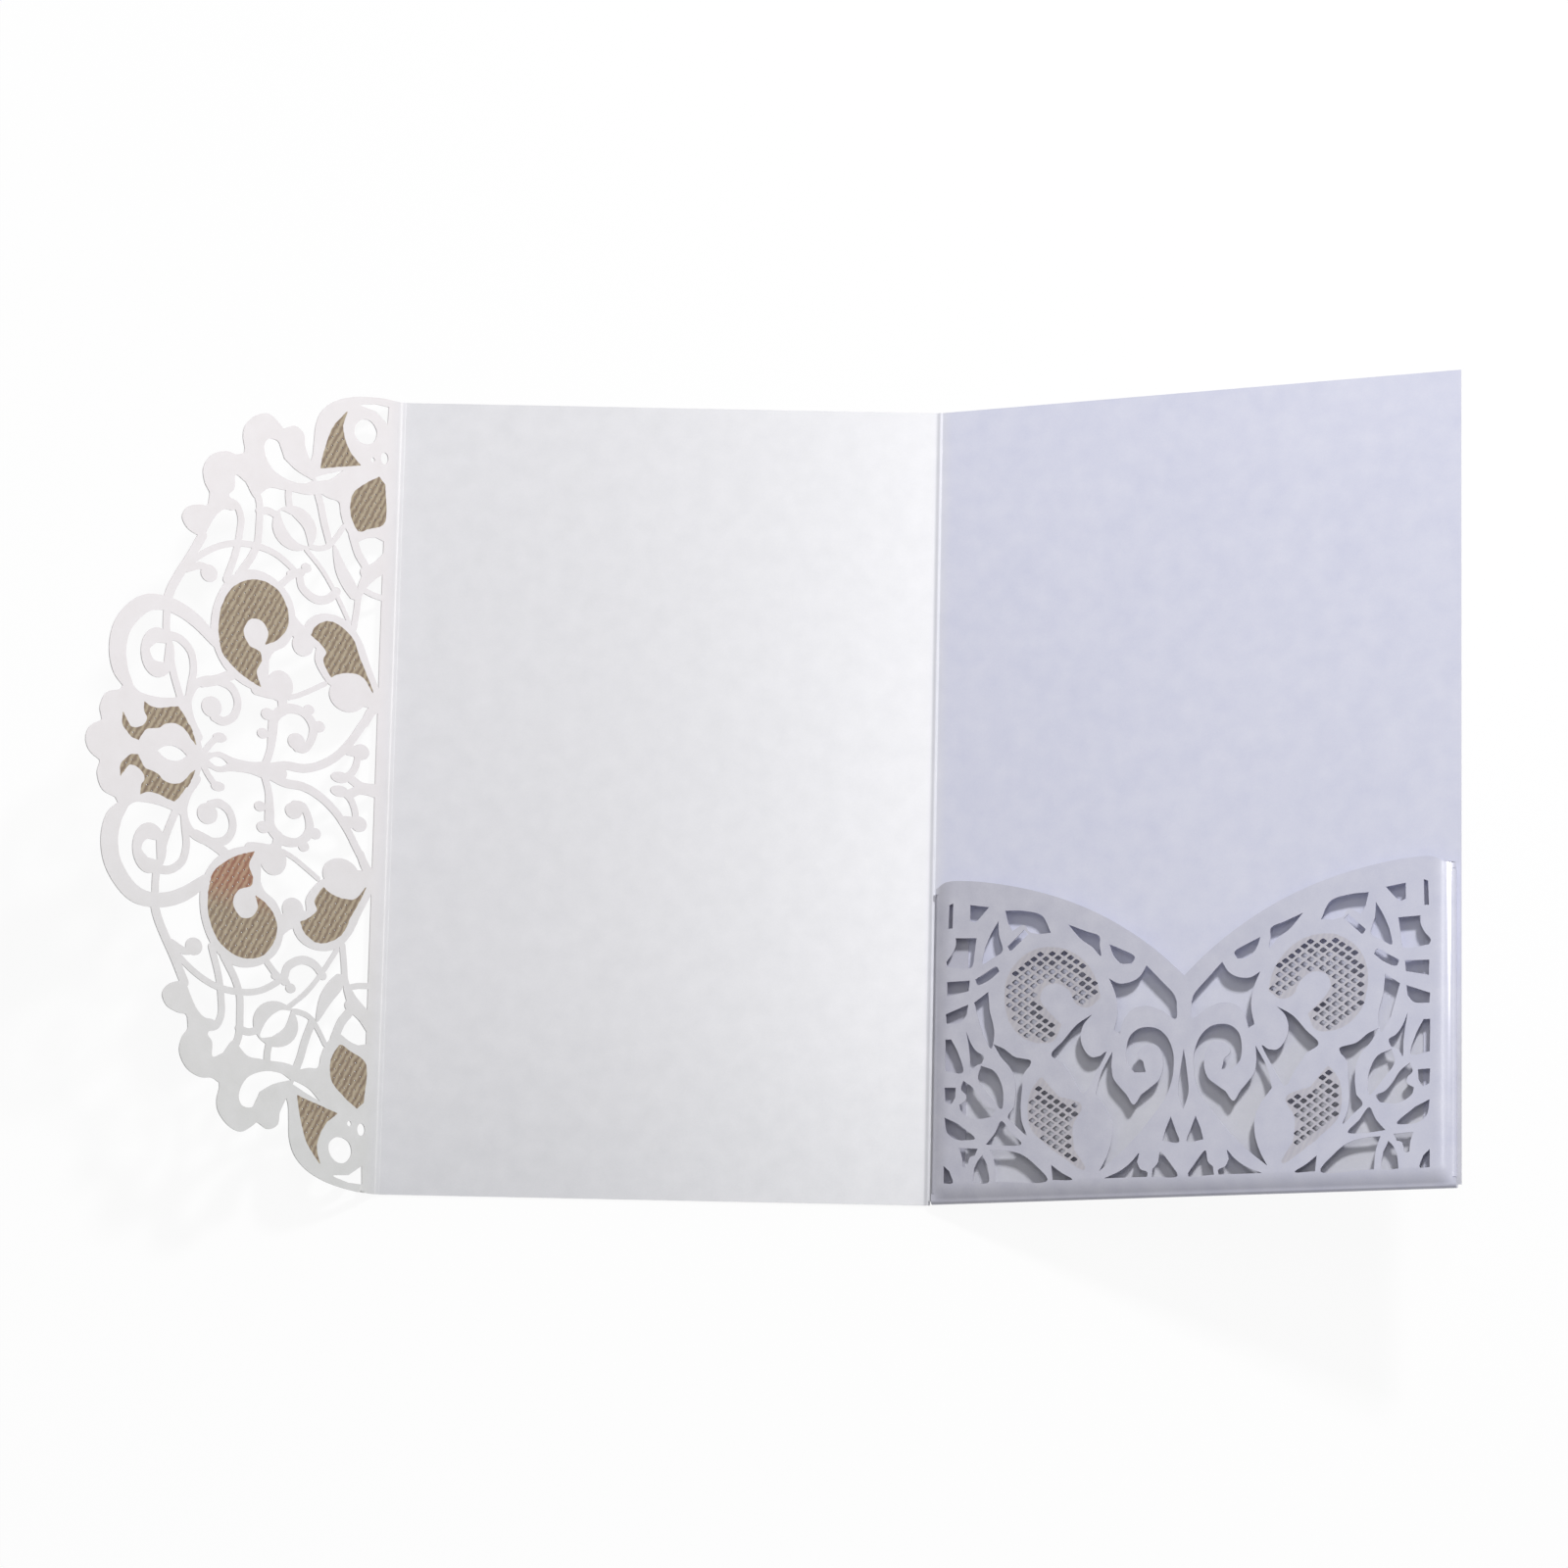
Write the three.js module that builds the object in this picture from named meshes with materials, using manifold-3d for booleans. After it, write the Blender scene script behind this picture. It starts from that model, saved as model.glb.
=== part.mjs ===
import * as THREE from 'three';
import Module from 'manifold-3d';
import { mergeVertices } from 'three/addons/utils/BufferGeometryUtils.js';

// A wedding invitation card, cut and folded from one sheet of pearl card.
// A lace flap stands open on the left, a plain panel lies on the table, and a plain back panel
// leans up on the right with a lace pocket front turned up over it.
// Millimetres. X runs across the open card, Y up the page, Z away from the table.

// The sheet and its three panels.
const SHEET = 0.3;
const PANEL_WIDTH = 125;
const PANEL_HEIGHT = 185;
const FLAP_WIDTH = 85;
const POCKET_HEIGHT = 74;

// How far the two outer panels stand open, and how tightly the sheet bends there.
const FLAP_RISE = 42;
const BACK_RISE = 22;
const FLAP_BEND = 2.2;
const BACK_BEND = 3;

// The pocket front, turned up from the foot of the back panel and held by two glued side tabs.
const POCKET_GAP = 1.2;
const POCKET_INSET = 0.8;
const TAB_WIDTH = 7;
const TAB_FOOT = 2.5;
const TAB_HEAD = 3;

// The plain strip of the flap beside its fold.
const FLAP_MARGIN = 4.3;

// The netting in the lace: the two diagonals of one diamond's cell, and the bars between diamonds.
const NET_WIDE = 4.8;
const NET_TALL = 3.8;
const NET_BAR = 0.8;
const NET_RIM = 0.15;

// The frame that the lace's points were drawn in: the lace is stretched from it to the card's sizes.
const DRAWN = { flap: 85, height: 185, width: 125, pocket: 74, pocketMiddle: 61.7 };

// How far a traced curve may leave its true line, the smallest bend worth a point of its own,
// the largest chance opening that is closed up, and how far plates run into each other.
const SAG = 0.17;
const FINEST = 0.07;
const SPECK = 0.4;
const OVERLAP = 0.8;

const PEARL = 0xe9e9ee;

const wasm = await Module();
wasm.setup();

function solidOf(geometry) {
  geometry.deleteAttribute('normal');
  geometry.deleteAttribute('uv');
  const merged = geometry.index ? geometry : mergeVertices(geometry, 1e-5);
  return new wasm.Manifold(new wasm.Mesh({
    numProp: 3,
    vertProperties: new Float32Array(merged.attributes.position.array),
    triVerts: new Uint32Array(merged.index.array),
  }));
}

function geometryOf(solid) {
  const { vertProperties, triVerts } = solid.getMesh();
  const geometry = new THREE.BufferGeometry();
  geometry.setAttribute('position', new THREE.BufferAttribute(vertProperties, 3));
  geometry.setIndex(new THREE.BufferAttribute(triVerts, 1));
  return geometry;
}

function plate(points) {
  const geometry = new THREE.ExtrudeGeometry(new THREE.Shape(points), {
    depth: SHEET,
    bevelEnabled: false,
  });
  return solidOf(geometry);
}

function cutter(points) {
  const geometry = new THREE.ExtrudeGeometry(new THREE.Shape(points), {
    depth: SHEET + 2,
    bevelEnabled: false,
  });
  geometry.translate(0, 0, -1);
  return solidOf(geometry);
}

function joined(solids) {
  return solids.reduce((whole, next) => whole.add(next));
}

// The closed lines around a plate's upper face: its outer edge and the edge of every gap.

function edgesOf(solid) {
  const { vertProperties, triVerts } = solid.getMesh();
  const isUpper = (corner) => vertProperties[3 * corner + 2] > SHEET / 2;
  const following = new Map();
  for (let first = 0; first < triVerts.length; first += 3) {
    const corners = triVerts.slice(first, first + 3);
    const isWall = !corners.every(isUpper);
    corners.forEach((to, index) => {
      const from = corners[(index + 1) % 3];
      if (isWall && isUpper(from) && isUpper(to)) {
        following.set(from, to);
      }
    });
  }
  const edges = [];
  while (following.size > 0) {
    const edge = [];
    let [corner] = following.keys();
    while (following.has(corner)) {
      edge.push(new THREE.Vector2(vertProperties[3 * corner], vertProperties[3 * corner + 1]));
      const next = following.get(corner);
      following.delete(corner);
      corner = next;
    }
    edges.push(edge);
  }
  return edges;
}

// Drops the points of an edge that lie almost on the line between their neighbours.

function thinned(edge) {
  const kept = [];
  edge.forEach((point, index) => {
    const before = kept[kept.length - 1] ?? edge[edge.length - 1];
    const after = edge[(index + 1) % edge.length];
    const chord = after.clone().sub(before);
    if (Math.abs(chord.cross(point.clone().sub(before))) > FINEST * chord.length()) {
      kept.push(point);
    }
  });
  return kept;
}

function isNoSpeck(edge) {
  return Math.abs(THREE.ShapeUtils.area(edge)) > SPECK;
}

// A plate that was joined from many pieces, made anew from its edges alone.

function cleaned(solid) {
  const edges = edgesOf(solid).map(thinned).filter(isNoSpeck);
  const sizes = edges.map((edge) => THREE.ShapeUtils.area(edge));
  const outer = edges[sizes.indexOf(Math.max(...sizes))];
  const gaps = edges.filter((edge) => edge !== outer);
  return gaps.reduce((whole, gap) => whole.subtract(cutter(gap)), plate(outer));
}

// Curves are traced through hand-picked points, with more steps where they turn faster.

function traceSpan(curve, from, to, traced) {
  const start = curve.getPoint(from);
  const end = curve.getPoint(to);
  const middle = curve.getPoint((from + to) / 2);
  const sag = middle.distanceTo(start.lerp(end, 0.5));
  if (sag > SAG) {
    traceSpan(curve, from, (from + to) / 2, traced);
    traceSpan(curve, (from + to) / 2, to, traced);
    return;
  }
  traced.push(end);
}

function trace(points, closed) {
  const places = points.map(([x, y, z = 0]) => new THREE.Vector3(x, y, z));
  const curve = new THREE.CatmullRomCurve3(places, closed, 'centripetal');
  const spans = closed ? points.length : points.length - 1;
  const traced = closed ? [] : [places[0].clone()];
  for (let span = 0; span < spans; span += 1) {
    traceSpan(curve, span / spans, (span + 1) / spans, traced);
  }
  return traced;
}

// A closed outline. One run of points is a smooth loop; several runs meet at corners.

function outline(...runs) {
  if (runs.length === 1) {
    return trace(runs[0], true);
  }
  return runs.flatMap((run, index) => {
    const nextRun = runs[(index + 1) % runs.length];
    return trace([...run, nextRun[0]], false).slice(0, -1);
  });
}

// A ribbon of card along a line of points, with round ends. A point's third number is its width.

function ribbon(width, ...points) {
  const line = trace(points.map(([x, y, own = width]) => [x, y, own / 2]), false);
  const left = [];
  const right = [];
  line.forEach((point, index) => {
    const before = line[Math.max(index - 1, 0)];
    const after = line[Math.min(index + 1, line.length - 1)];
    const along = new THREE.Vector2(after.x - before.x, after.y - before.y).normalize();
    left.push(new THREE.Vector2(point.x - along.y * point.z, point.y + along.x * point.z));
    right.unshift(new THREE.Vector2(point.x + along.y * point.z, point.y - along.x * point.z));
  });
  return [
    ...left,
    ...roundEnd(left[left.length - 1], line[line.length - 1]),
    ...right,
    ...roundEnd(right[right.length - 1], line[0]),
  ];
}

function roundEnd(from, centre) {
  const arm = new THREE.Vector2(from.x - centre.x, from.y - centre.y);
  const origin = new THREE.Vector2();
  return [1, 2, 3].map((step) => {
    const turned = arm.clone().rotateAround(origin, -step * Math.PI / 4);
    return new THREE.Vector2(centre.x + turned.x, centre.y + turned.y);
  });
}

function disc(x, y, across, tall = across) {
  const steps = Math.max(8, Math.ceil(Math.PI / Math.acos(1 - SAG / Math.max(across, tall))));
  return Array.from({ length: steps }, (_, step) => {
    const angle = step * 2 * Math.PI / steps;
    return new THREE.Vector2(x + across * Math.cos(angle), y + tall * Math.sin(angle));
  });
}

function isInside(point, loop) {
  let inside = false;
  loop.forEach((here, index) => {
    const next = loop[(index + 1) % loop.length];
    const crosses = (here.y > point.y) !== (next.y > point.y);
    const share = (point.y - here.y) / (next.y - here.y);
    if (crosses && point.x < here.x + share * (next.x - here.x)) {
      inside = !inside;
    }
  });
  return inside;
}

// Diamond gaps on a diagonal grid, wherever a whole diamond fits inside the netted area.

function netGaps(area) {
  const halfWide = (NET_WIDE - NET_BAR) / 2;
  const halfTall = (NET_TALL - NET_BAR) / 2;
  const tips = [[1, 0], [0, 1], [-1, 0], [0, -1]];
  const box = new THREE.Box2().setFromPoints(area);
  const gaps = [];
  for (let row = Math.floor(2 * box.min.y / NET_TALL); row <= 2 * box.max.y / NET_TALL; row += 1) {
    for (let column = Math.floor(box.min.x / NET_WIDE); column <= box.max.x / NET_WIDE; column += 1) {
      const x = (column + (row % 2 === 0 ? 0 : 0.5)) * NET_WIDE;
      const y = row * NET_TALL / 2;
      const diamond = tips.map(([a, b]) => new THREE.Vector2(x + a * halfWide, y + b * halfTall));
      const reach = tips.map(([a, b]) => (
        new THREE.Vector2(x + a * (halfWide + NET_RIM), y + b * (halfTall + NET_RIM))));
      if (reach.every((tip) => isInside(tip, area))) {
        gaps.push(diamond);
      }
    }
  }
  return gaps;
}

// The flap's lace. Its points are (distance from the fold, height above the card's middle).
// Everything here is the upper half; the lower half is its mirror image.

function flapCorner() {
  return {
    card: [
      outline(
        [
          [3, 92.5], [5, 92.5], [10, 92], [15, 91], [20, 89], [23.5, 86], [25, 82.5], [25.4, 78],
          [25.8, 74.6],
        ],
        [[28, 71]],
        [[24.5, 67.2], [20.5, 66], [17.7, 65.6]],
        [[17, 63], [15.8, 60.3], [12.6, 57.4], [9, 58.6], [3, 61.2]],
      ),
    ],
    gaps: [
      outline(
        [
          [7.4, 84.2], [9, 86.2], [11.4, 86.4], [13.5, 84.8], [13.9, 82.6], [12.4, 81], [10.2, 80.7],
          [8, 81.8],
        ],
      ),
      outline([[4.3, 86.5]], [[4.1, 90.7]], [[8, 90.7], [12.3, 89.6]], [[8, 89]]),
      disc(4.9, 78.3, 1.1, 1.4),
      disc(8.3, 77.3, 0.6),
      outline([[16.8, 73.2], [20.5, 71.9]], [[24.6, 70.2]], [[24.2, 69.3], [20, 70.7]]),
    ],
    nets: [
      outline(
        [[16.2, 87.3], [20, 83], [21.7, 79], [22.8, 75]],
        [[23.2, 72.6], [16, 74.4]],
        [[11.8, 75.4], [14.8, 77.8], [16.7, 81], [17.3, 83.8]],
      ),
      outline(
        [[6.3, 73.6], [10, 71.4], [13.6, 68.3], [14.3, 65.5], [13.8, 62.5], [11.5, 59.8]],
        [[9, 60.8], [4.4, 63]],
        [[4.4, 72]],
      ),
    ],
  };
}

function flapHooks() {
  return {
    card: [
      outline(
        [[26, 73], [26.9, 74.8], [27.9, 77], [28.4, 79.8], [31, 81.1], [34.3, 79.9]],
        [[34.6, 80.2], [36.2, 81.4], [38.5, 82.5], [42, 81.5], [45, 78.5], [45.5, 76], [44.9, 73.2]],
        [[45, 72.2], [47, 71.4], [50, 71.6], [54, 70], [56.2, 66.5], [55.6, 63.2], [54.2, 61.2]],
        [[54.2, 60.2], [54.7, 58.2], [57, 57.9], [60.2, 56.7], [61.5, 54.3], [60, 52], [56.8, 50.8]],
        [[55.2, 50.8], [53.7, 53.8], [52, 56.4], [49.8, 58.1], [47.4, 58.3]],
        [[45.9, 59.4], [48.7, 61.6], [47.4, 63.3], [47.1, 66.6]],
        [[44.2, 65.4], [41.4, 62.2], [40, 63.4], [37.5, 65.3], [33, 65.6], [24, 66.6]],
      ),
      disc(30, 57.2, 6.3, 5.2),
      ribbon(1.8, [31.4, 61], [32, 64], [32, 66.8]),
      ribbon(1.7, [35, 59.2], [37.5, 59.9], [40.3, 59.4]),
      ribbon(2, [23.9, 66.8], [22.8, 64], [21.6, 60], [19.8, 55.4]),
      ribbon(1.9, [45.2, 43.6], [41.7, 48.6], [40.3, 52], [40, 56], [40.1, 61], [41.5, 64.5]),
      ribbon(1.8, [48.6, 42], [46.3, 48.4], [45.4, 53], [45.2, 57], [46.6, 59.6], [50, 60.3]),
    ],
    gaps: [
      outline(
        [
          [25.2, 69.3], [28, 68.1], [33, 68.3], [37.6, 70.5], [39.5, 74.6], [38.4, 76.6], [35.6, 76.6],
          [34.6, 75],
        ],
        [[33.6, 72.9], [30, 70.8]],
      ),
      outline([[25.7, 53.6], [29, 54], [32.4, 56.6], [34.2, 60.6]], [[30.8, 60.2], [27.4, 57.6]]),
    ],
    nets: [],
  };
}

function flapOuterScroll() {
  return {
    card: [
      ribbon(2.3, [64.8, 34], [63.6, 37.4], [61.6, 41], [58.8, 45.4], [55.6, 51]),
      ribbon(
        1.5, [61.5, 41.6], [57, 45.6], [52, 48.8], [46.5, 50.8], [40.5, 51.2], [35, 50.3], [30.5, 48],
        [28, 46],
      ),
      disc(53.4, 42.6, 2.3, 2),
      ribbon(1.7, [53.6, 43.6], [56, 43.9], [59.5, 42.6]),
      ribbon(
        4, [74.2, 13.6, 2.6], [76.6, 17, 4.2], [77.5, 21.5, 4.6], [76.6, 26.2, 4.6], [74, 30, 4.4],
        [70.4, 32.8, 4], [66, 33.7, 3.4], [61, 33, 3.3], [56.3, 31, 3.2], [51, 27.3, 2.6],
      ),
      ribbon(1.9, [64.5, 33.4], [64.5, 28], [63.4, 23], [62.2, 18.6], [60, 13.2]),
      disc(66.6, 22.2, 4.6, 5.7),
      ribbon(1.9, [64.3, 26.6], [60.8, 26.3], [57.6, 23.9], [56.6, 20.2], [57.2, 16], [57.6, 13]),
    ],
    gaps: [
      outline([[64.8, 20.2]], [[64.4, 24.6]], [[67, 24.4], [68.8, 22.6], [67.6, 20.4]]),
    ],
    nets: [],
  };
}

function flapTip() {
  return {
    card: [
      outline(
        [[53, -0.5], [53.6, 3], [55, 6], [57, 9.6], [57.2, 12.8]],
        [[58.6, 13.6], [62, 12.6], [66, 12.1], [71, 12.5], [74.4, 14.4]],
        [[76.4, 12.2], [80, 10.9], [81.6, 7.4], [81, 4.6]],
        [[81.6, 4.2], [83.4, 3.2], [84.6, 1.8], [85, 0], [84.8, -1]],
      ),
      ribbon(
        2, [54.4, 4.8], [57, 9], [57.7, 12.8], [55.6, 16.8], [50.6, 18.4], [45.8, 17.4], [44, 14.2],
        [45.2, 10.8], [48, 9.4], [50.5, 10],
      ),
      disc(51.2, 12.2, 2.8, 2.4),
      disc(48.6, 5.6, 1.9, 1.1),
      ribbon(1.5, [49.4, 5.4], [51.4, 3.4], [53.2, 1]),
    ],
    gaps: [
      outline([[72.5, 4.2], [73.6, 3.6], [74.6, 5.4], [73.6, 6.4]]),
    ],
    nets: [
      outline(
        [[70.6, 9.9], [65, 9.8], [60.3, 10.7]],
        [
          [57.6, 8.4], [55.2, 3.2], [58, 5], [61.5, 6], [64.3, 5], [66.5, 3.6], [69, 2.6], [71.5, 1],
          [74.4, 1.4], [76, 4], [75.6, 6.2],
        ],
        [[72, 5.2], [69.6, 6.4]],
      ),
    ],
  };
}

function flapStem() {
  return {
    card: [
      ribbon(
        3.2, [55, 0], [51.5, 0, 3.4], [48.5, 0, 4.6], [45, 0, 3.2], [40, 0, 2.7], [35, 0, 4],
        [31, 0, 3],
      ),
      ribbon(
        2, [36, 0.5], [34.4, 5], [34, 9, 2.6], [33.6, 12.4, 2.6], [30.5, 15, 2.4], [25.6, 15],
        [22.6, 12.2, 2.4], [23.2, 8.6], [24.8, 6.7], [27, 6.6],
      ),
      disc(27.2, 8, 2.4, 1.9),
      disc(36.7, 8.4, 1.6, 1.2),
      disc(35.6, 13, 1.8, 1.4),
      disc(20.8, 12.4, 1.5, 1.3),
      disc(24, 15.8, 1.5, 1.2),
      ribbon(2, [34, 1], [30, 2], [25, 2.1], [20.5, 3.4], [15.8, 6.2], [12, 10], [8.6, 14.6], [5, 19.4]),
      disc(8.6, 8.4, 2.3, 1.8),
      ribbon(2.6, [12.6, 8.4], [8.8, 8.2]),
      disc(14.4, 1.6, 2.6, 1.3),
      ribbon(1.8, [14.4, 1.2], [11.6, 2.6], [10, 5], [9.4, 8]),
      ribbon(2.2, [11.8, 2], [8.4, 0.4], [3, 0, 3.4]),
      ribbon(2.2, [7.8, 15.4], [6, 18.4], [3, 19.6]),
    ],
    gaps: [],
    nets: [],
  };
}

function flapLargeLeaf() {
  return {
    card: [
      outline(
        [
          [36.4, 17.6], [40, 18], [44, 19.2], [48.4, 22], [51.2, 26], [52.3, 30], [51.6, 36],
          [48.6, 41.6], [44.6, 44.6], [40, 45.6], [34.4, 44.2], [30.2, 40.6], [28.8, 36], [29.4, 32.4],
          [31.4, 29.4], [34.6, 27.4],
        ],
        [[35.8, 25.4], [35.8, 21.6]],
      ),
      disc(32.4, 20, 3.7, 3.6),
      ribbon(2.6, [31.2, 14.6], [31.8, 18]),
      ribbon(3, [33.6, 18.2], [36, 18.2], [39, 18.4]),
      ribbon(1.2, [29.6, 17.8], [26.6, 18.9], [19.6, 22.6]),
      ribbon(2.4, [46, 20.4], [50, 18.6], [54, 17.4]),
      disc(26.4, 30.6, 3, 2.7),
      ribbon(4, [24.4, 32], [28, 33.6], [31, 36]),
      ribbon(1.6, [33, 43.6], [30.6, 45.8], [28, 47.4]),
    ],
    gaps: [],
    nets: [
      outline(
        [
          [50.2, 30], [49.6, 35.4], [46.4, 40.7], [40, 43.4], [34.2, 42], [31.2, 38], [30.8, 35],
          [31.6, 32.8], [34, 30.4],
        ],
        [[37, 28.9], [36.2, 31.6], [38, 34], [41, 34.3], [43.3, 31.2], [41.6, 28], [38.4, 26.8]],
        [[37.9, 25], [39.2, 22.2]],
        [[37.8, 18.9], [42, 20.4], [45.4, 22.2], [49, 25.4]],
      ),
    ],
  };
}

function flapSmallLeaf() {
  return {
    card: [
      outline(
        [
          [3, 21], [4.8, 25], [7, 29], [9.6, 34], [13.4, 37.8], [18.8, 39], [23.6, 37.8], [26, 35.2],
          [26.2, 32],
        ],
        [[22.6, 30.4], [22.8, 27.6], [20.8, 24.6], [18.4, 22.6], [12, 21]],
      ),
      disc(13.2, 20.8, 5.2, 3.8),
      ribbon(2.6, [8.8, 20.4], [3, 20.4, 3.4]),
    ],
    gaps: [],
    nets: [
      outline(
        [[24.2, 33.2], [22.9, 35.4], [19.4, 37.2], [15.4, 36.4], [12, 34], [10, 30], [7.2, 25.4]],
        [[5.9, 22.7], [8.8, 25.8], [12.4, 26.3], [16.2, 25.4]],
        [[18, 24.4], [19.2, 25.8], [20.4, 28], [19.6, 29.8], [21.3, 31.6]],
      ),
    ],
  };
}

function flapFoldScrolls() {
  return {
    card: [
      ribbon(1.7, [12, 37], [11.4, 41], [10.8, 45], [8.6, 48.4], [3, 52.8]),
      ribbon(1.4, [3, 45.2], [7, 45.6], [10.6, 46.6]),
      ribbon(1.2, [13.4, 38], [17.4, 43.8], [21.6, 48.8], [26.4, 52.8]),
      ribbon(2, [31, 46.4, 1.4], [28.4, 46.6], [27.2, 43.8], [23.4, 41.8], [19.9, 42.3], [17.2, 44.6]),
      disc(26.2, 48.6, 1.4, 1.1),
      ribbon(1.3, [27.8, 46.4], [26.6, 48.2]),
      outline(
        [[13.2, 43.6], [15.2, 45.4], [17.4, 48.4], [18.4, 51.4], [18.6, 55.4]],
        [[14.6, 50.4], [11.4, 46.4], [10.6, 43.6]],
      ),
      ribbon(1.3, [27, 54], [23.6, 53.7], [20.4, 54.6], [17.8, 57.4], [16, 60]),
      ribbon(2.2, [10.2, 46.6], [9, 51], [11.6, 54.6], [13.4, 58.6]),
      ribbon(2.4, [9.6, 50.4], [6, 52.4], [3, 55.4]),
      ribbon(2.4, [3, 59.6], [8, 60.4], [12, 58.4]),
    ],
    gaps: [],
    nets: [],
  };
}

// The gaps on the flap's own middle line, which are drawn whole.

function flapMiddleGaps() {
  return [
    outline(
      [[57.4, 0], [59.2, 1.2], [61.5, 1.7], [63.8, 1.2]],
      [[65.6, 0], [63.8, -1.2], [61.5, -1.7], [59.2, -1.2]],
    ),
    outline(
      [[46.2, 0], [47.4, 0.8], [49, 1.1], [50.4, 0.7]],
      [[51.4, 0], [50.4, -0.7], [49, -1.1], [47.4, -0.8]],
    ),
  ];
}

function flap() {
  const parts = [
    flapCorner(), flapHooks(), flapOuterScroll(), flapTip(), flapStem(), flapLargeLeaf(),
    flapSmallLeaf(), flapFoldScrolls(),
  ];
  const across = FLAP_WIDTH / DRAWN.flap;
  const up = PANEL_HEIGHT / DRAWN.height;
  const placed = (points, side) => points.map(({ x, y }) => (
    new THREE.Vector2(-x * across, side * y * up)));
  const start = bendReach(FLAP_BEND, FLAP_RISE) - OVERLAP;
  const half = PANEL_HEIGHT / 2;
  const strip = [[-start, -half], [-start, half], [-FLAP_MARGIN, half], [-FLAP_MARGIN, -half]];
  let lace = plate(strip.map(([x, y]) => new THREE.Vector2(x, y)));
  for (const side of [1, -1]) {
    const pieces = parts.flatMap((part) => part.card);
    lace = lace.add(joined(pieces.map((points) => plate(placed(points, side)))));
  }
  for (const side of [1, -1]) {
    for (const part of parts) {
      const nets = part.nets.map((points) => placed(points, side));
      const gaps = part.gaps.map((points) => placed(points, side));
      for (const gap of [...gaps, ...nets.flatMap(netGaps)]) {
        lace = lace.subtract(cutter(gap));
      }
    }
  }
  for (const gap of flapMiddleGaps()) {
    lace = lace.subtract(cutter(placed(gap, 1)));
  }
  return cleaned(lace);
}

// The pocket front. Its points are (distance from the card's middle fold, height above the bottom
// fold), for the half beside the middle fold. The other half is its mirror image, about a line
// that lies a little nearer the middle fold than the pocket's own middle.

function pocketSprigGaps() {
  return [
    outline([[10.3, 68.05]], [[14.9, 67.35]], [[13.4, 65.65], [11.6, 64.05]], [[10.3, 64.45]]),
    outline([[5, 62.85]], [[5.2, 68.25]], [[6.2, 68.65]], [[6.1, 62.85]]),
    outline(
      [[6.9, 60.55]],
      [[12, 60.35]],
      [[11.6, 57.15], [10.8, 53.65]],
      [[5, 53.95], [4.6, 55.05], [6, 56.85], [6.9, 58.85]],
    ),
    outline([[11.8, 50.85], [14, 52.05], [16.9, 53.55]], [[17.6, 52.45], [15.4, 50.65], [12.4, 49.55]]),
    outline(
      [[17.2, 64.05], [17.4, 60.85], [18.3, 57.05]],
      [[15.8, 55.45], [13.5, 54.35]],
      [[14, 57.85], [15.5, 61.25]],
    ),
    outline([[4.9, 50.55]], [[10.5, 50.65]], [[10.3, 48.25]], [[5, 47.15]]),
    outline([[4.7, 43.15]], [[10.2, 45.15]], [[9.9, 42.85], [8.4, 41.25]], [[4.9, 40.95]]),
    outline(
      [[11.6, 45.55]],
      [[15, 47.85]],
      [[15.4, 43.65], [16.6, 38.45], [15.9, 34.85]],
      [[13.7, 38.25], [12.6, 42.05]],
    ),
    outline([[4.7, 37.35]], [[6.2, 37.35], [8, 34.05], [9.1, 29.65]], [[4.8, 30.15]]),
    outline(
      [[9.8, 39.05], [11.1, 36.05], [12.5, 34.25], [14.2, 33.15]],
      [[13.7, 31.55], [12, 30.85], [11, 29.25]],
      [[10.8, 32.65], [10.4, 35.65]],
    ),
    outline(
      [[13.5, 31.05], [16.7, 29.65], [18.5, 26.65], [19, 23.65], [18.6, 20.95]],
      [[15, 24.85], [12.8, 28.05]],
    ),
    outline([[4.7, 26.35]], [[7.5, 26.25]], [[7.4, 24.05], [6.4, 22.55]], [[4.9, 23.05]]),
    outline(
      [[9.3, 27.75], [11.4, 26.25], [13.4, 23.45], [15.2, 21.65], [17.1, 20.85]],
      [[16.2, 19.25], [12, 18.95], [8.8, 20.85]],
      [[8.4, 22.25], [10, 23.35], [9.9, 24.55], [8.7, 25.85]],
    ),
    outline([[4.8, 19.55]], [[8.2, 17.95], [12.3, 14.45]], [[9, 14.15], [7, 14.75], [5.4, 16.25]]),
    outline(
      [[8.5, 12.45]],
      [[13, 12.15]],
      [[12.4, 10.65], [11.2, 10.25], [10.4, 7.95]],
      [[9.4, 8.15], [9.2, 10.25]],
    ),
    outline([[14.2, 10.65]], [[15.4, 8.25], [15.7, 4.45]], [[11.9, 4.45]], [[12.2, 7.65], [13.1, 9.45]]),
    outline([[4.8, 4.55]], [[4.8, 8.55]], [[6.3, 7.15], [7.1, 4.55]]),
    outline(
      [[16, 11.75], [20, 11.45], [23.6, 10.45], [26.8, 8.05], [29.8, 4.45]],
      [[17.5, 4.45], [17.1, 8.45]],
    ),
    outline([[14.9, 13.05], [17, 15.45], [18.6, 18.25]], [[20.8, 15.65], [23.5, 12.85]], [[19, 12.55]]),
    outline([[30.6, 7.95], [33, 6.15], [35.7, 4.45]], [[31, 4.45]]),
  ];
}

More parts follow.
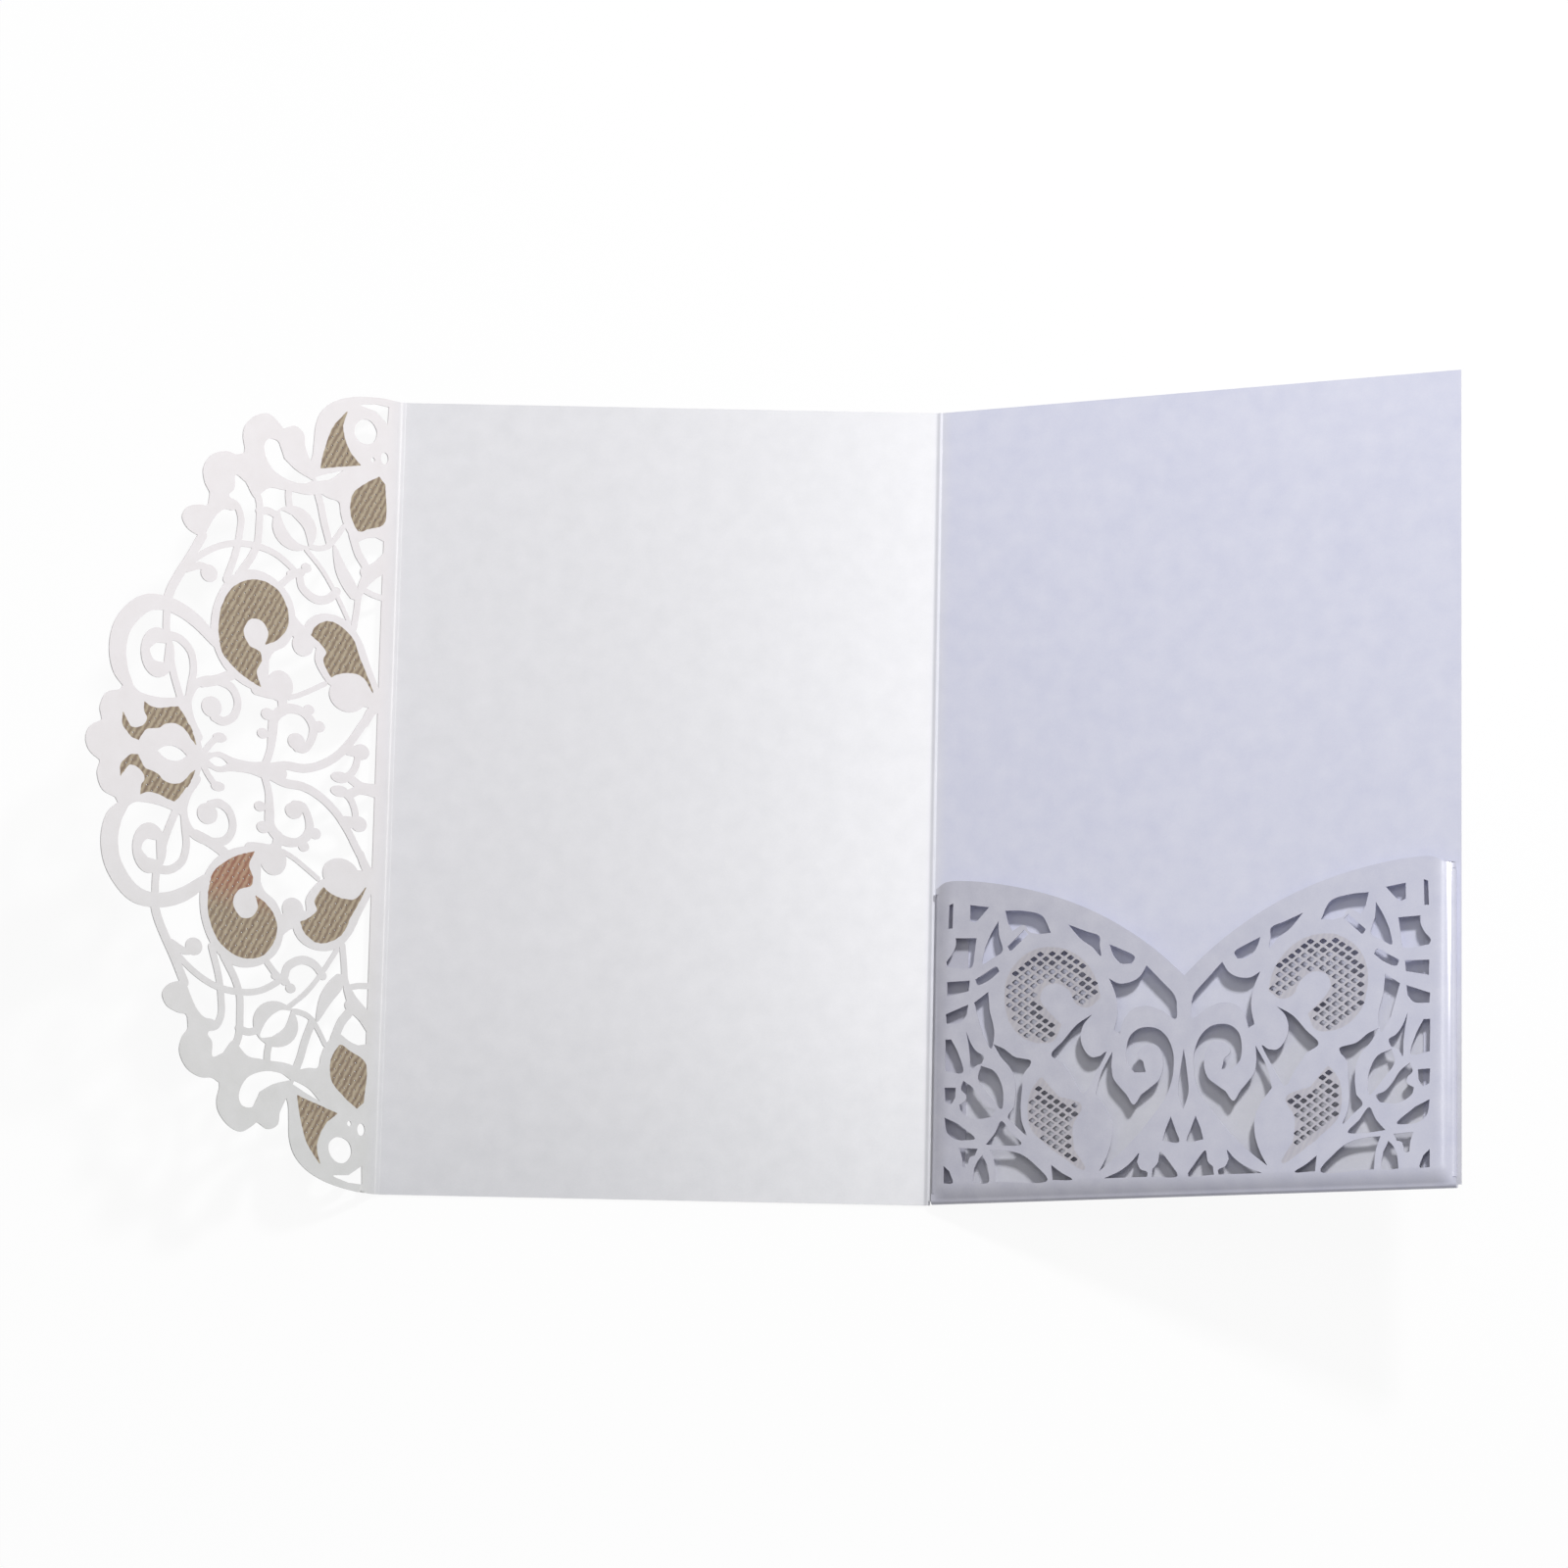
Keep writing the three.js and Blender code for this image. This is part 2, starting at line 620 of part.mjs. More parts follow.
function pocketScrollGaps() {
  return [
    outline(
      [[18.8, 66.35], [23.5, 66.05], [27.7, 64.75]],
      [[29.9, 60.75]],
      [[27, 60.55], [24.6, 61.25], [23.4, 62.85]],
      [[20.6, 61.55]],
      [[19.5, 63.45]],
    ),
    outline([[19.5, 58.05]], [[23.5, 61.75]], [[24.5, 60.65]], [[21.9, 58.35], [20.2, 57.05]]),
    outline(
      [[34, 62.45], [38.2, 60.75], [41.5, 59.35]],
      [[41.6, 57.25], [41.9, 54.85]],
      [[39.8, 57.05], [37, 59.05]],
    ),
    outline([[43.9, 57.45], [46.6, 56.25], [50, 54.25]], [[49.3, 52.85], [46.8, 52.95], [44.9, 54.85]]),
    outline(
      [[43.9, 49.65], [46.2, 48.45], [49, 48.65], [51.2, 49.85]],
      [[52.8, 52.25]],
      [[56, 48.95], [59.4, 45.25]],
      [[60, 43.65], [59.8, 39.85]],
      [[56.5, 41.85], [53, 43.05], [49.6, 42.45], [47.6, 40.25]],
      [[46.6, 37.05]],
      [[45.2, 37.85], [46, 42.05], [45.4, 46.05]],
    ),
    outline(
      [[16.4, 35.85], [19, 34.65], [21.6, 32.75], [25.5, 31.65]],
      [[25.2, 30.45], [23.9, 28.85], [23.4, 24.65], [23.2, 20.65], [23.6, 17.65], [24.7, 14.75]],
      [[21.8, 17.25], [20.1, 19.05]],
      [[21.6, 21.25], [21.9, 24.65], [21.5, 28.25], [20.2, 30.65], [18.2, 32.85]],
    ),
    outline(
      [[40, 41.65], [36.3, 39.45], [33.2, 36.05], [30.3, 32.85]],
      [[33, 30.95], [35.4, 27.65], [38, 23.75]],
      [[40.6, 27.45], [43.4, 33.05]],
      [[42, 32.15], [40, 31.95], [38.1, 33.85], [37.3, 36.65], [38, 39.45]],
    ),
    outline(
      [[52.8, 28.05]],
      [
        [50.2, 28.05], [48.5, 29.95], [48.1, 32.85], [48.8, 36.05], [50.8, 37.85], [53.3, 38.25],
        [55.7, 37.65], [57.8, 35.75], [59.2, 32.45], [59.4, 29.25], [58.9, 25.65], [57.3, 21.85],
        [54.4, 17.95], [50.6, 13.55], [46.4, 9.55],
      ],
      [[42, 6.05], [43.8, 9.45], [44.9, 13.05], [45, 16.65], [43.6, 20.05]],
      [[41, 23.45], [42.3, 28.25]],
      [[44.9, 33.05]],
      [[44.7, 29.65], [45.2, 26.95], [46.8, 24.85], [48.4, 23.05], [50, 20.85]],
      [
        [51.8, 23.05], [53.9, 24.55], [56, 26.35], [56.9, 29.25], [56.5, 32.25], [54.9, 34.25],
        [52.4, 34.05], [50.7, 32.05],
      ],
      [[52.2, 30.45]],
    ),
    outline(
      [[43.2, 4.45], [47, 6.05], [49.6, 7.95], [51.4, 9.85]],
      [[51, 7.85], [51.8, 6.25], [53.4, 5.55]],
      [[53.4, 4.45]],
    ),
    outline([[54.4, 4.45]], [[54.6, 6.25], [55.8, 7.45], [56.4, 9.95]], [[58.7, 7.45], [60.5, 4.45]]),
    outline([[58.8, 17.85]], [[59.9, 14.95], [60.8, 12.05]], [[56.9, 12.45]], [[57.6, 15.05]]),
  ];
}

function pocketMiddleGap() {
  return outline([[61.7, 33], [60.9, 28], [60.5, 23]], [[61.7, 19.4], [62.9, 23], [62.5, 28]]);
}

function pocketNets() {
  return [
    outline(
      [
        [41.6, 45.4], [40.6, 49.4], [37.6, 53.8], [33, 56.6], [27, 57], [22.2, 54.4], [19.6, 50],
        [19.4, 45], [21, 40], [25, 36.6], [30.6, 36.2],
      ],
      [
        [32.4, 39.6], [29.6, 42.2], [27.2, 45.6], [28.4, 48.6], [31.6, 49.4], [34.8, 47.4],
        [36.4, 44.4], [39, 43.6],
      ],
    ),
    outline(
      [[28, 27.6], [25.8, 24.4], [25.2, 20.4], [26, 16.4]],
      [[31, 11.6], [38.4, 6.8]],
      [[35.8, 11], [35.4, 16.6], [37.4, 21]],
      [[32, 23]],
    ),
  ];
}

function pocketFront(left, right, foot) {
  const across = PANEL_WIDTH / DRAWN.width;
  const up = POCKET_HEIGHT / DRAWN.pocket;
  const placed = (points, side) => points.map(({ x, y }) => (
    new THREE.Vector2(
      (side > 0 ? x : 2 * DRAWN.pocketMiddle - x) * across,
      y * up - PANEL_HEIGHT / 2,
    )));
  const rim = [
    [1.5, 72.4], [4, 73.6], [10, 73.6], [20, 72], [30, 69.3], [40, 65.2], [49, 60], [56, 54.8],
    [61.7, 49.6],
  ];
  const top = trace(rim, false);
  const head = [...placed(top, 1), ...placed(top, -1).reverse().slice(1)];
  const low = foot - OVERLAP;
  head[0].x = left;
  head[head.length - 1].x = right;
  let front = plate([new THREE.Vector2(left, low), ...head, new THREE.Vector2(right, low)]);
  for (const side of [1, -1]) {
    const nets = pocketNets().map((points) => placed(points, side));
    const gaps = [...pocketSprigGaps(), ...pocketScrollGaps()].map((points) => placed(points, side));
    for (const gap of [...gaps, ...nets.flatMap(netGaps)]) {
      front = front.subtract(cutter(gap));
    }
  }
  return front.subtract(cutter(placed(pocketMiddleGap(), 1)));
}

// The section of a sheet that turns back over itself: a half round with short straight ends.
// The section starts along the lower leg at (0, 0), and `gap` is the space between the legs.

function turnedSection(gap, lowerLeg, upperLeg) {
  const inner = gap / 2;
  const outer = inner + SHEET;
  const shape = new THREE.Shape();
  shape.moveTo(-lowerLeg, 0);
  shape.lineTo(0, 0);
  shape.absarc(0, outer, outer, -Math.PI / 2, Math.PI / 2, false);
  shape.lineTo(-upperLeg, 2 * outer);
  shape.lineTo(-upperLeg, outer + inner);
  shape.lineTo(0, outer + inner);
  shape.absarc(0, outer, inner, Math.PI / 2, -Math.PI / 2, true);
  shape.lineTo(-lowerLeg, SHEET);
  shape.closePath();
  return shape;
}

function turnedFold(gap, lowerLeg, upperLeg, length) {
  const geometry = new THREE.ExtrudeGeometry(turnedSection(gap, lowerLeg, upperLeg), {
    depth: length,
    bevelEnabled: false,
    curveSegments: 10,
  });
  return geometry;
}

// The back panel and its pocket, drawn lying flat with the middle fold along the Y axis.

function backPanel() {
  const start = bendReach(BACK_BEND, BACK_RISE) - OVERLAP;
  const half = PANEL_HEIGHT / 2;
  const outer = POCKET_GAP / 2 + SHEET;
  const foot = -half + outer;
  const corners = [[start, foot], [PANEL_WIDTH, foot], [PANEL_WIDTH, half], [start, half]];
  const panel = plate(corners.map(([x, y]) => new THREE.Vector2(x, y)));

  const left = bendReach(BACK_BEND, BACK_RISE) + POCKET_INSET;
  const right = PANEL_WIDTH - POCKET_INSET;

  const bottomFold = turnedFold(POCKET_GAP, OVERLAP, OVERLAP, right - left);
  bottomFold.rotateX(Math.PI / 2);
  bottomFold.rotateZ(-Math.PI / 2);
  bottomFold.translate(right, foot, 0);

  const front = geometryOf(pocketFront(left, right, foot));
  front.translate(0, 0, POCKET_GAP + SHEET);
  return joined([panel, solidOf(bottomFold), solidOf(front), ...pocketTabs(left, right)]);
}

// The side tabs turn in behind the pocket front and are glued down on the back panel.

function pocketTabs(left, right) {
  const low = -PANEL_HEIGHT / 2 + TAB_FOOT;
  const length = POCKET_HEIGHT - TAB_FOOT - TAB_HEAD;
  const space = POCKET_GAP - SHEET;
  const reach = space / 2 + SHEET;
  return [1, -1].map((side) => {
    const fold = turnedFold(space, TAB_WIDTH, OVERLAP, length);
    fold.rotateX(Math.PI / 2);
    fold.translate(0, length / 2, 0);
    fold.rotateZ(side > 0 ? 0 : Math.PI);
    fold.translate(side > 0 ? right - reach : left + reach, low + length / 2, SHEET);
    return solidOf(fold);
  });
}

// How much flat length a bend takes from each panel beside it.

function bendReach(radius, rise) {
  return (radius + SHEET) * Math.tan(THREE.MathUtils.degToRad(rise) / 2);
}

// The section of a bend that lifts the sheet to the right by `rise`, with short straight ends.

function bendSection(radius, rise) {
  const turn = THREE.MathUtils.degToRad(rise);
  const outer = radius + SHEET;
  const along = new THREE.Vector2(Math.cos(turn), Math.sin(turn)).multiplyScalar(OVERLAP);
  const shape = new THREE.Shape();
  shape.moveTo(-OVERLAP, 0);
  shape.lineTo(0, 0);
  shape.absarc(0, outer, outer, -Math.PI / 2, -Math.PI / 2 + turn, false);
  shape.lineTo(outer * Math.sin(turn) + along.x, outer - outer * Math.cos(turn) + along.y);
  shape.lineTo(radius * Math.sin(turn) + along.x, outer - radius * Math.cos(turn) + along.y);
  shape.lineTo(radius * Math.sin(turn), outer - radius * Math.cos(turn));
  shape.absarc(0, outer, radius, -Math.PI / 2 + turn, -Math.PI / 2, true);
  shape.lineTo(-OVERLAP, SHEET);
  shape.closePath();
  return shape;
}

function bend(radius, rise) {
  const geometry = new THREE.ExtrudeGeometry(bendSection(radius, rise), {
    depth: PANEL_HEIGHT,
    bevelEnabled: false,
    curveSegments: 6,
  });
  geometry.rotateX(Math.PI / 2);
  geometry.translate(-bendReach(radius, rise), PANEL_HEIGHT / 2, 0);
  return geometry;
}

function middlePanel() {
  const half = PANEL_HEIGHT / 2;
  const left = -PANEL_WIDTH / 2 + bendReach(FLAP_BEND, FLAP_RISE) - OVERLAP / 2;
  const right = PANEL_WIDTH / 2 - bendReach(BACK_BEND, BACK_RISE) + OVERLAP / 2;
  const corners = [[left, -half], [right, -half], [right, half], [left, half]];
  return plate(corners.map(([x, y]) => new THREE.Vector2(x, y)));
}

function foldedCard() {
  const flapFold = bend(FLAP_BEND, FLAP_RISE).rotateZ(Math.PI);
  const backFold = bend(BACK_BEND, BACK_RISE);
  const raisedFlap = geometryOf(flap()).rotateY(THREE.MathUtils.degToRad(FLAP_RISE));
  const raisedBack = geometryOf(backPanel()).rotateY(THREE.MathUtils.degToRad(-BACK_RISE));
  const wings = [
    flapFold.translate(-PANEL_WIDTH / 2, 0, 0),
    raisedFlap.translate(-PANEL_WIDTH / 2, 0, 0),
    backFold.translate(PANEL_WIDTH / 2, 0, 0),
    raisedBack.translate(PANEL_WIDTH / 2, 0, 0),
  ];
  return joined([middlePanel(), ...wings.map(solidOf)]);
}

function meshOf(solid, name) {
  const flat = geometryOf(solid).toNonIndexed();
  flat.computeVertexNormals();
  const material = new THREE.MeshStandardMaterial({ color: PEARL, roughness: 0.55, metalness: 0 });
  const mesh = new THREE.Mesh(flat, material);
  mesh.name = name;
  return mesh;
}

const card = new THREE.Group();
card.name = 'wedding_invitation_card';
card.add(meshOf(foldedCard(), 'card'));

export default card;
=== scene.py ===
import math
import random

import bpy
import numpy as np
from mathutils import Matrix, Vector
from mathutils.geometry import delaunay_2d_cdt


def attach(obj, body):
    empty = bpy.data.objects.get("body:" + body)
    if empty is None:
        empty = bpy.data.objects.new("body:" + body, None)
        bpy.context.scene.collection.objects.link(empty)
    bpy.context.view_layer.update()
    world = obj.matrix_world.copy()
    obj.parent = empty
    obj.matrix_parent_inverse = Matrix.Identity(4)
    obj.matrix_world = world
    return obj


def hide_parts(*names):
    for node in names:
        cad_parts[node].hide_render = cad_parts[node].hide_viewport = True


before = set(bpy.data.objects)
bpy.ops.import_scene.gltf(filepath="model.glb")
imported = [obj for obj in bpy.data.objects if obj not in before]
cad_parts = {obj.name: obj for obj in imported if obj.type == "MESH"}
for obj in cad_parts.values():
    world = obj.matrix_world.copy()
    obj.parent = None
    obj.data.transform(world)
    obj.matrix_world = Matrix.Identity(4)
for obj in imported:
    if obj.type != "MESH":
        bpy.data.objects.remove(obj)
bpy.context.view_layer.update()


# The camera looks down on the open card from just in front of it, as in the photo, and is
# rolled a little, so that the middle panel's upper edge isn't quite level.
AZIMUTH = math.radians(2.61)
ELEVATION = math.radians(78.58)
ROLL = math.radians(-1.42)
DISTANCE = 1.413
LOOK_AT = Vector((0.02798, 0.00410, 0))
LENS = 141.5
SENSOR_WIDTH = 36
NEAREST, FARTHEST = 0.05, 20

flat = math.cos(ELEVATION)
back = Vector((math.sin(AZIMUTH) * flat, -math.cos(AZIMUTH) * flat, math.sin(ELEVATION)))
level = (-back).cross(Vector((0, 0, 1))).normalized()
upright = level.cross(-back)
right = math.cos(ROLL) * level + math.sin(ROLL) * upright
up = math.cos(ROLL) * upright - math.sin(ROLL) * level
bpy.ops.object.camera_add(location=LOOK_AT + back * DISTANCE)
camera = bpy.context.object
camera.name = "camera"
camera.rotation_euler = Matrix((right, up, back)).transposed().to_euler()
camera.data.lens = LENS
camera.data.sensor_width = SENSOR_WIDTH
camera.data.clip_start = NEAREST
camera.data.clip_end = FARTHEST
bpy.context.scene.camera = camera


# The table is a plain pale sheet. To the camera and in reflections it is nearly white, and the
# card's shadow on it is light.
FLOOR_SIZE = 12
FLOOR_DROP = 0.0002
FLOOR_GREY = 0.9
FLOOR_WHITE = 0.93
CAMERA_RAY, GLOSSY_RAY, TRANSMISSION_RAY = 0, 3, 6


class Value:
    """A shader socket that can be added, multiplied and so on."""

    def __init__(self, tree, socket):
        self.tree, self.socket = tree, socket

    def _maths(self, operation, first, second):
        made = self.tree.nodes.new("ShaderNodeMath")
        made.operation = operation
        for index, value in enumerate((first, second)):
            if isinstance(value, Value):
                self.tree.links.new(value.socket, made.inputs[index])
            else:
                made.inputs[index].default_value = value
        return Value(self.tree, made.outputs[0])

    def __add__(self, other):
        return self._maths("ADD", self, other)

    def __sub__(self, other):
        return self._maths("SUBTRACT", self, other)

    def __rsub__(self, other):
        return self._maths("SUBTRACT", other, self)

    def __mul__(self, other):
        return self._maths("MULTIPLY", self, other)

    __radd__, __rmul__ = __add__, __mul__


class Paint:
    """A new material. node() adds any node with its settings and inputs, as one of its outputs."""

    def __init__(self, name):
        self.material = bpy.data.materials.new(name)
        self.material.use_nodes = True
        self.tree = self.material.node_tree
        self.look = self.tree.nodes["Principled BSDF"]

    def node(self, kind, settings=None, inputs=None, output=0):
        made = self.tree.nodes.new(kind)
        for name, value in (settings or {}).items():
            setattr(made, name, value)
        for name, value in (inputs or {}).items():
            if isinstance(value, Value):
                self.tree.links.new(value.socket, made.inputs[name])
            else:
                made.inputs[name].default_value = value
        return Value(self.tree, made.outputs[output])

    def mixed(self, share, first, second):
        """A colour between the first (share 0) and the second (share 1)."""
        inputs = {0: share, 6: first, 7: second}
        return self.node("ShaderNodeMix", {"data_type": "RGBA"}, inputs, 2)

    def link(self, value, socket):
        self.tree.links.new(value.socket, socket)


bpy.ops.mesh.primitive_plane_add(size=FLOOR_SIZE, location=(0, 0, -FLOOR_DROP))
floor = bpy.context.object
floor.name = "floor"
paint = Paint("floor_paint")
paint.look.inputs["Base Color"].default_value = (FLOOR_GREY, FLOOR_GREY, FLOOR_GREY, 1)
paint.look.inputs["Roughness"].default_value = 1
paint.look.inputs["Specular IOR Level"].default_value = 0
seen = sum(
    (
        paint.node("ShaderNodeLightPath", output=ray)
        for ray in (CAMERA_RAY, GLOSSY_RAY, TRANSMISSION_RAY)
    ),
    start=0,
)
dull = Value(paint.tree, paint.look.outputs[0])
white = paint.node("ShaderNodeEmission", None, {"Color": (1, 1, 1, 1), "Strength": 1})
both = paint.node("ShaderNodeMixShader", None, {0: seen * FLOOR_WHITE, 1: dull, 2: white})
paint.link(both, paint.tree.nodes["Material Output"].inputs["Surface"])
floor.data.materials.append(paint.material)


# Studio light comes from a small square lamp high on the right beyond the card, which makes the
# shadows in the lace, and from a long strip nearly overhead, whose reflection is the glare on the
# middle panel. A weak fill comes from all round.
FILL = 0.27

world = bpy.data.worlds.new("studio")
bpy.context.scene.world = world
world.use_nodes = True
world.node_tree.nodes["Background"].inputs["Color"].default_value = (1, 1, 1, 1)
world.node_tree.nodes["Background"].inputs["Strength"].default_value = FILL
bpy.context.scene.view_settings.view_transform = "Standard"


def soft_lamp(name, place, wide, long, power):
    bpy.ops.object.light_add(type="AREA", location=place)
    lamp = bpy.context.object
    lamp.name = name
    lamp.data.shape = "RECTANGLE"
    lamp.data.size = wide
    lamp.data.size_y = long
    lamp.data.energy = power
    lamp.rotation_euler = Vector(place).to_track_quat("Z", "Y").to_euler()


soft_lamp("key", place=(0.35, 0.64, 0.83), wide=0.12, long=0.12, power=9.3)
soft_lamp("strip", place=(0.08, 0.34, 1.50), wide=0.14, long=0.6, power=2.7)


# The card is one sheet of pearl card: a lace flap on the left, a plain middle panel on the table
# and a back panel leaning up on the right, with a lace pocket front that is turned up over its
# foot and glued by two side tabs. It is drawn flat, in millimetres, and then folded.
SHEET = 0.3
PANEL_WIDTH = 125
PANEL_HEIGHT = 185
FLAP_MARGIN = 4.3
POCKET_MIDDLE = 61.7
FLAP_RISE = math.radians(42)
BACK_RISE = math.radians(22)
FLAP_BEND = 2.2 + SHEET
BACK_BEND = 3 + SHEET
POCKET_BEND = 0.9
POCKET_INSET = 0.8
POCKET_SWELL = 1.2
SWELL_REACH = 4
BEAD_REACH = 0.9
BEAD_HEIGHT = 0.22
TAB_WIDTH = 7
TAB_FOOT = 2.5
TAB_TOP = 71
TAB_BEND = 0.74
HALF = PANEL_HEIGHT / 2
LEFT_FOLD = -PANEL_WIDTH / 2
RIGHT_FOLD = PANEL_WIDTH / 2
FLAP_REACH = FLAP_BEND * math.tan(FLAP_RISE / 2)
BACK_REACH = BACK_BEND * math.tan(BACK_RISE / 2)
FOOT = POCKET_BEND - HALF
TURN = math.pi * (POCKET_BEND - SHEET / 2)
POCKET_LEFT = BACK_REACH + POCKET_INSET
POCKET_RIGHT = PANEL_WIDTH - POCKET_INSET
TAB_TURN = math.pi * (TAB_BEND - SHEET / 2)
STEP = 0.45
DISC_POINTS = 32
END_STEPS = 8
TINY = 1e-6


def curve(points, closed):
    """Points about STEP apart on a smooth line through the given ones."""
    places = np.array([(*point, 0)[:3] for point in points], float)
    if len(places) == 2:
        return list(places)
    if closed:
        ring = [places[-1], *places, places[0], places[1]]
    else:
        ring = [2 * places[0] - places[1], *places, 2 * places[-1] - places[-2]]
    made = [] if closed else [places[0]]
    for a, b, c, d in zip(ring, ring[1:], ring[2:], ring[3:]):
        near, mid, far = (max(math.dist(p, q), TINY) ** 0.5 for p, q in ((a, b), (b, c), (c, d)))
        start = ((b - a) / near - (c - a) / (near + mid) + (c - b) / mid) * mid
        end = ((c - b) / mid - (d - b) / (mid + far) + (d - c) / far) * mid
        cubic, square = 2 * b - 2 * c + start + end, 3 * c - 3 * b - 2 * start - end
        steps = max(2, math.ceil(math.dist(b, c) / STEP))
        for step in range(1, steps + 1):
            t = step / steps
            made.append(cubic * t ** 3 + square * t ** 2 + start * t + b)
    return made


def outline(*runs):
    """A closed line. One run of points is a smooth loop; several runs meet at corners."""
    if len(runs) == 1:
        return np.array(curve(runs[0], True))[:, :2]
    line = []
    for run, following in zip(runs, runs[1:] + runs[:1]):
        line += curve([*run, following[0]], False)[:-1]
    return np.array(line)[:, :2]


def round_end(start, centre):
    """The points of a half circle round centre, clockwise from start."""
    arm = start - centre
    made = []
    for step in range(1, END_STEPS):
        turn = -step * math.pi / END_STEPS
        c, s = math.cos(turn), math.sin(turn)
        made.append(centre + np.array((arm[0] * c - arm[1] * s, arm[0] * s + arm[1] * c)))
    return made


def ribbon(width, *points):
    """A strip of card along a line, with round ends. A point's third number is its own width."""
    line = np.array(curve([(*point, width)[:3] for point in points], False))
    along = np.gradient(line[:, :2], axis=0)
    along /= np.linalg.norm(along, axis=1)[:, None]
    across = np.stack((-along[:, 1], along[:, 0]), 1) * line[:, 2:] / 2
    left, right = line[:, :2] + across, (line[:, :2] - across)[::-1]
    ends = round_end(left[-1], line[-1, :2]), round_end(right[-1], line[0, :2])
    return np.array([*left, *ends[0], *right, *ends[1]])


def disc(x, y, across, tall=None):
    """An upright oval of those half sizes."""
    turn = np.arange(DISC_POINTS) * math.tau / DISC_POINTS
    return np.stack((x + across * np.cos(turn), y + (tall or across) * np.sin(turn)), 1)


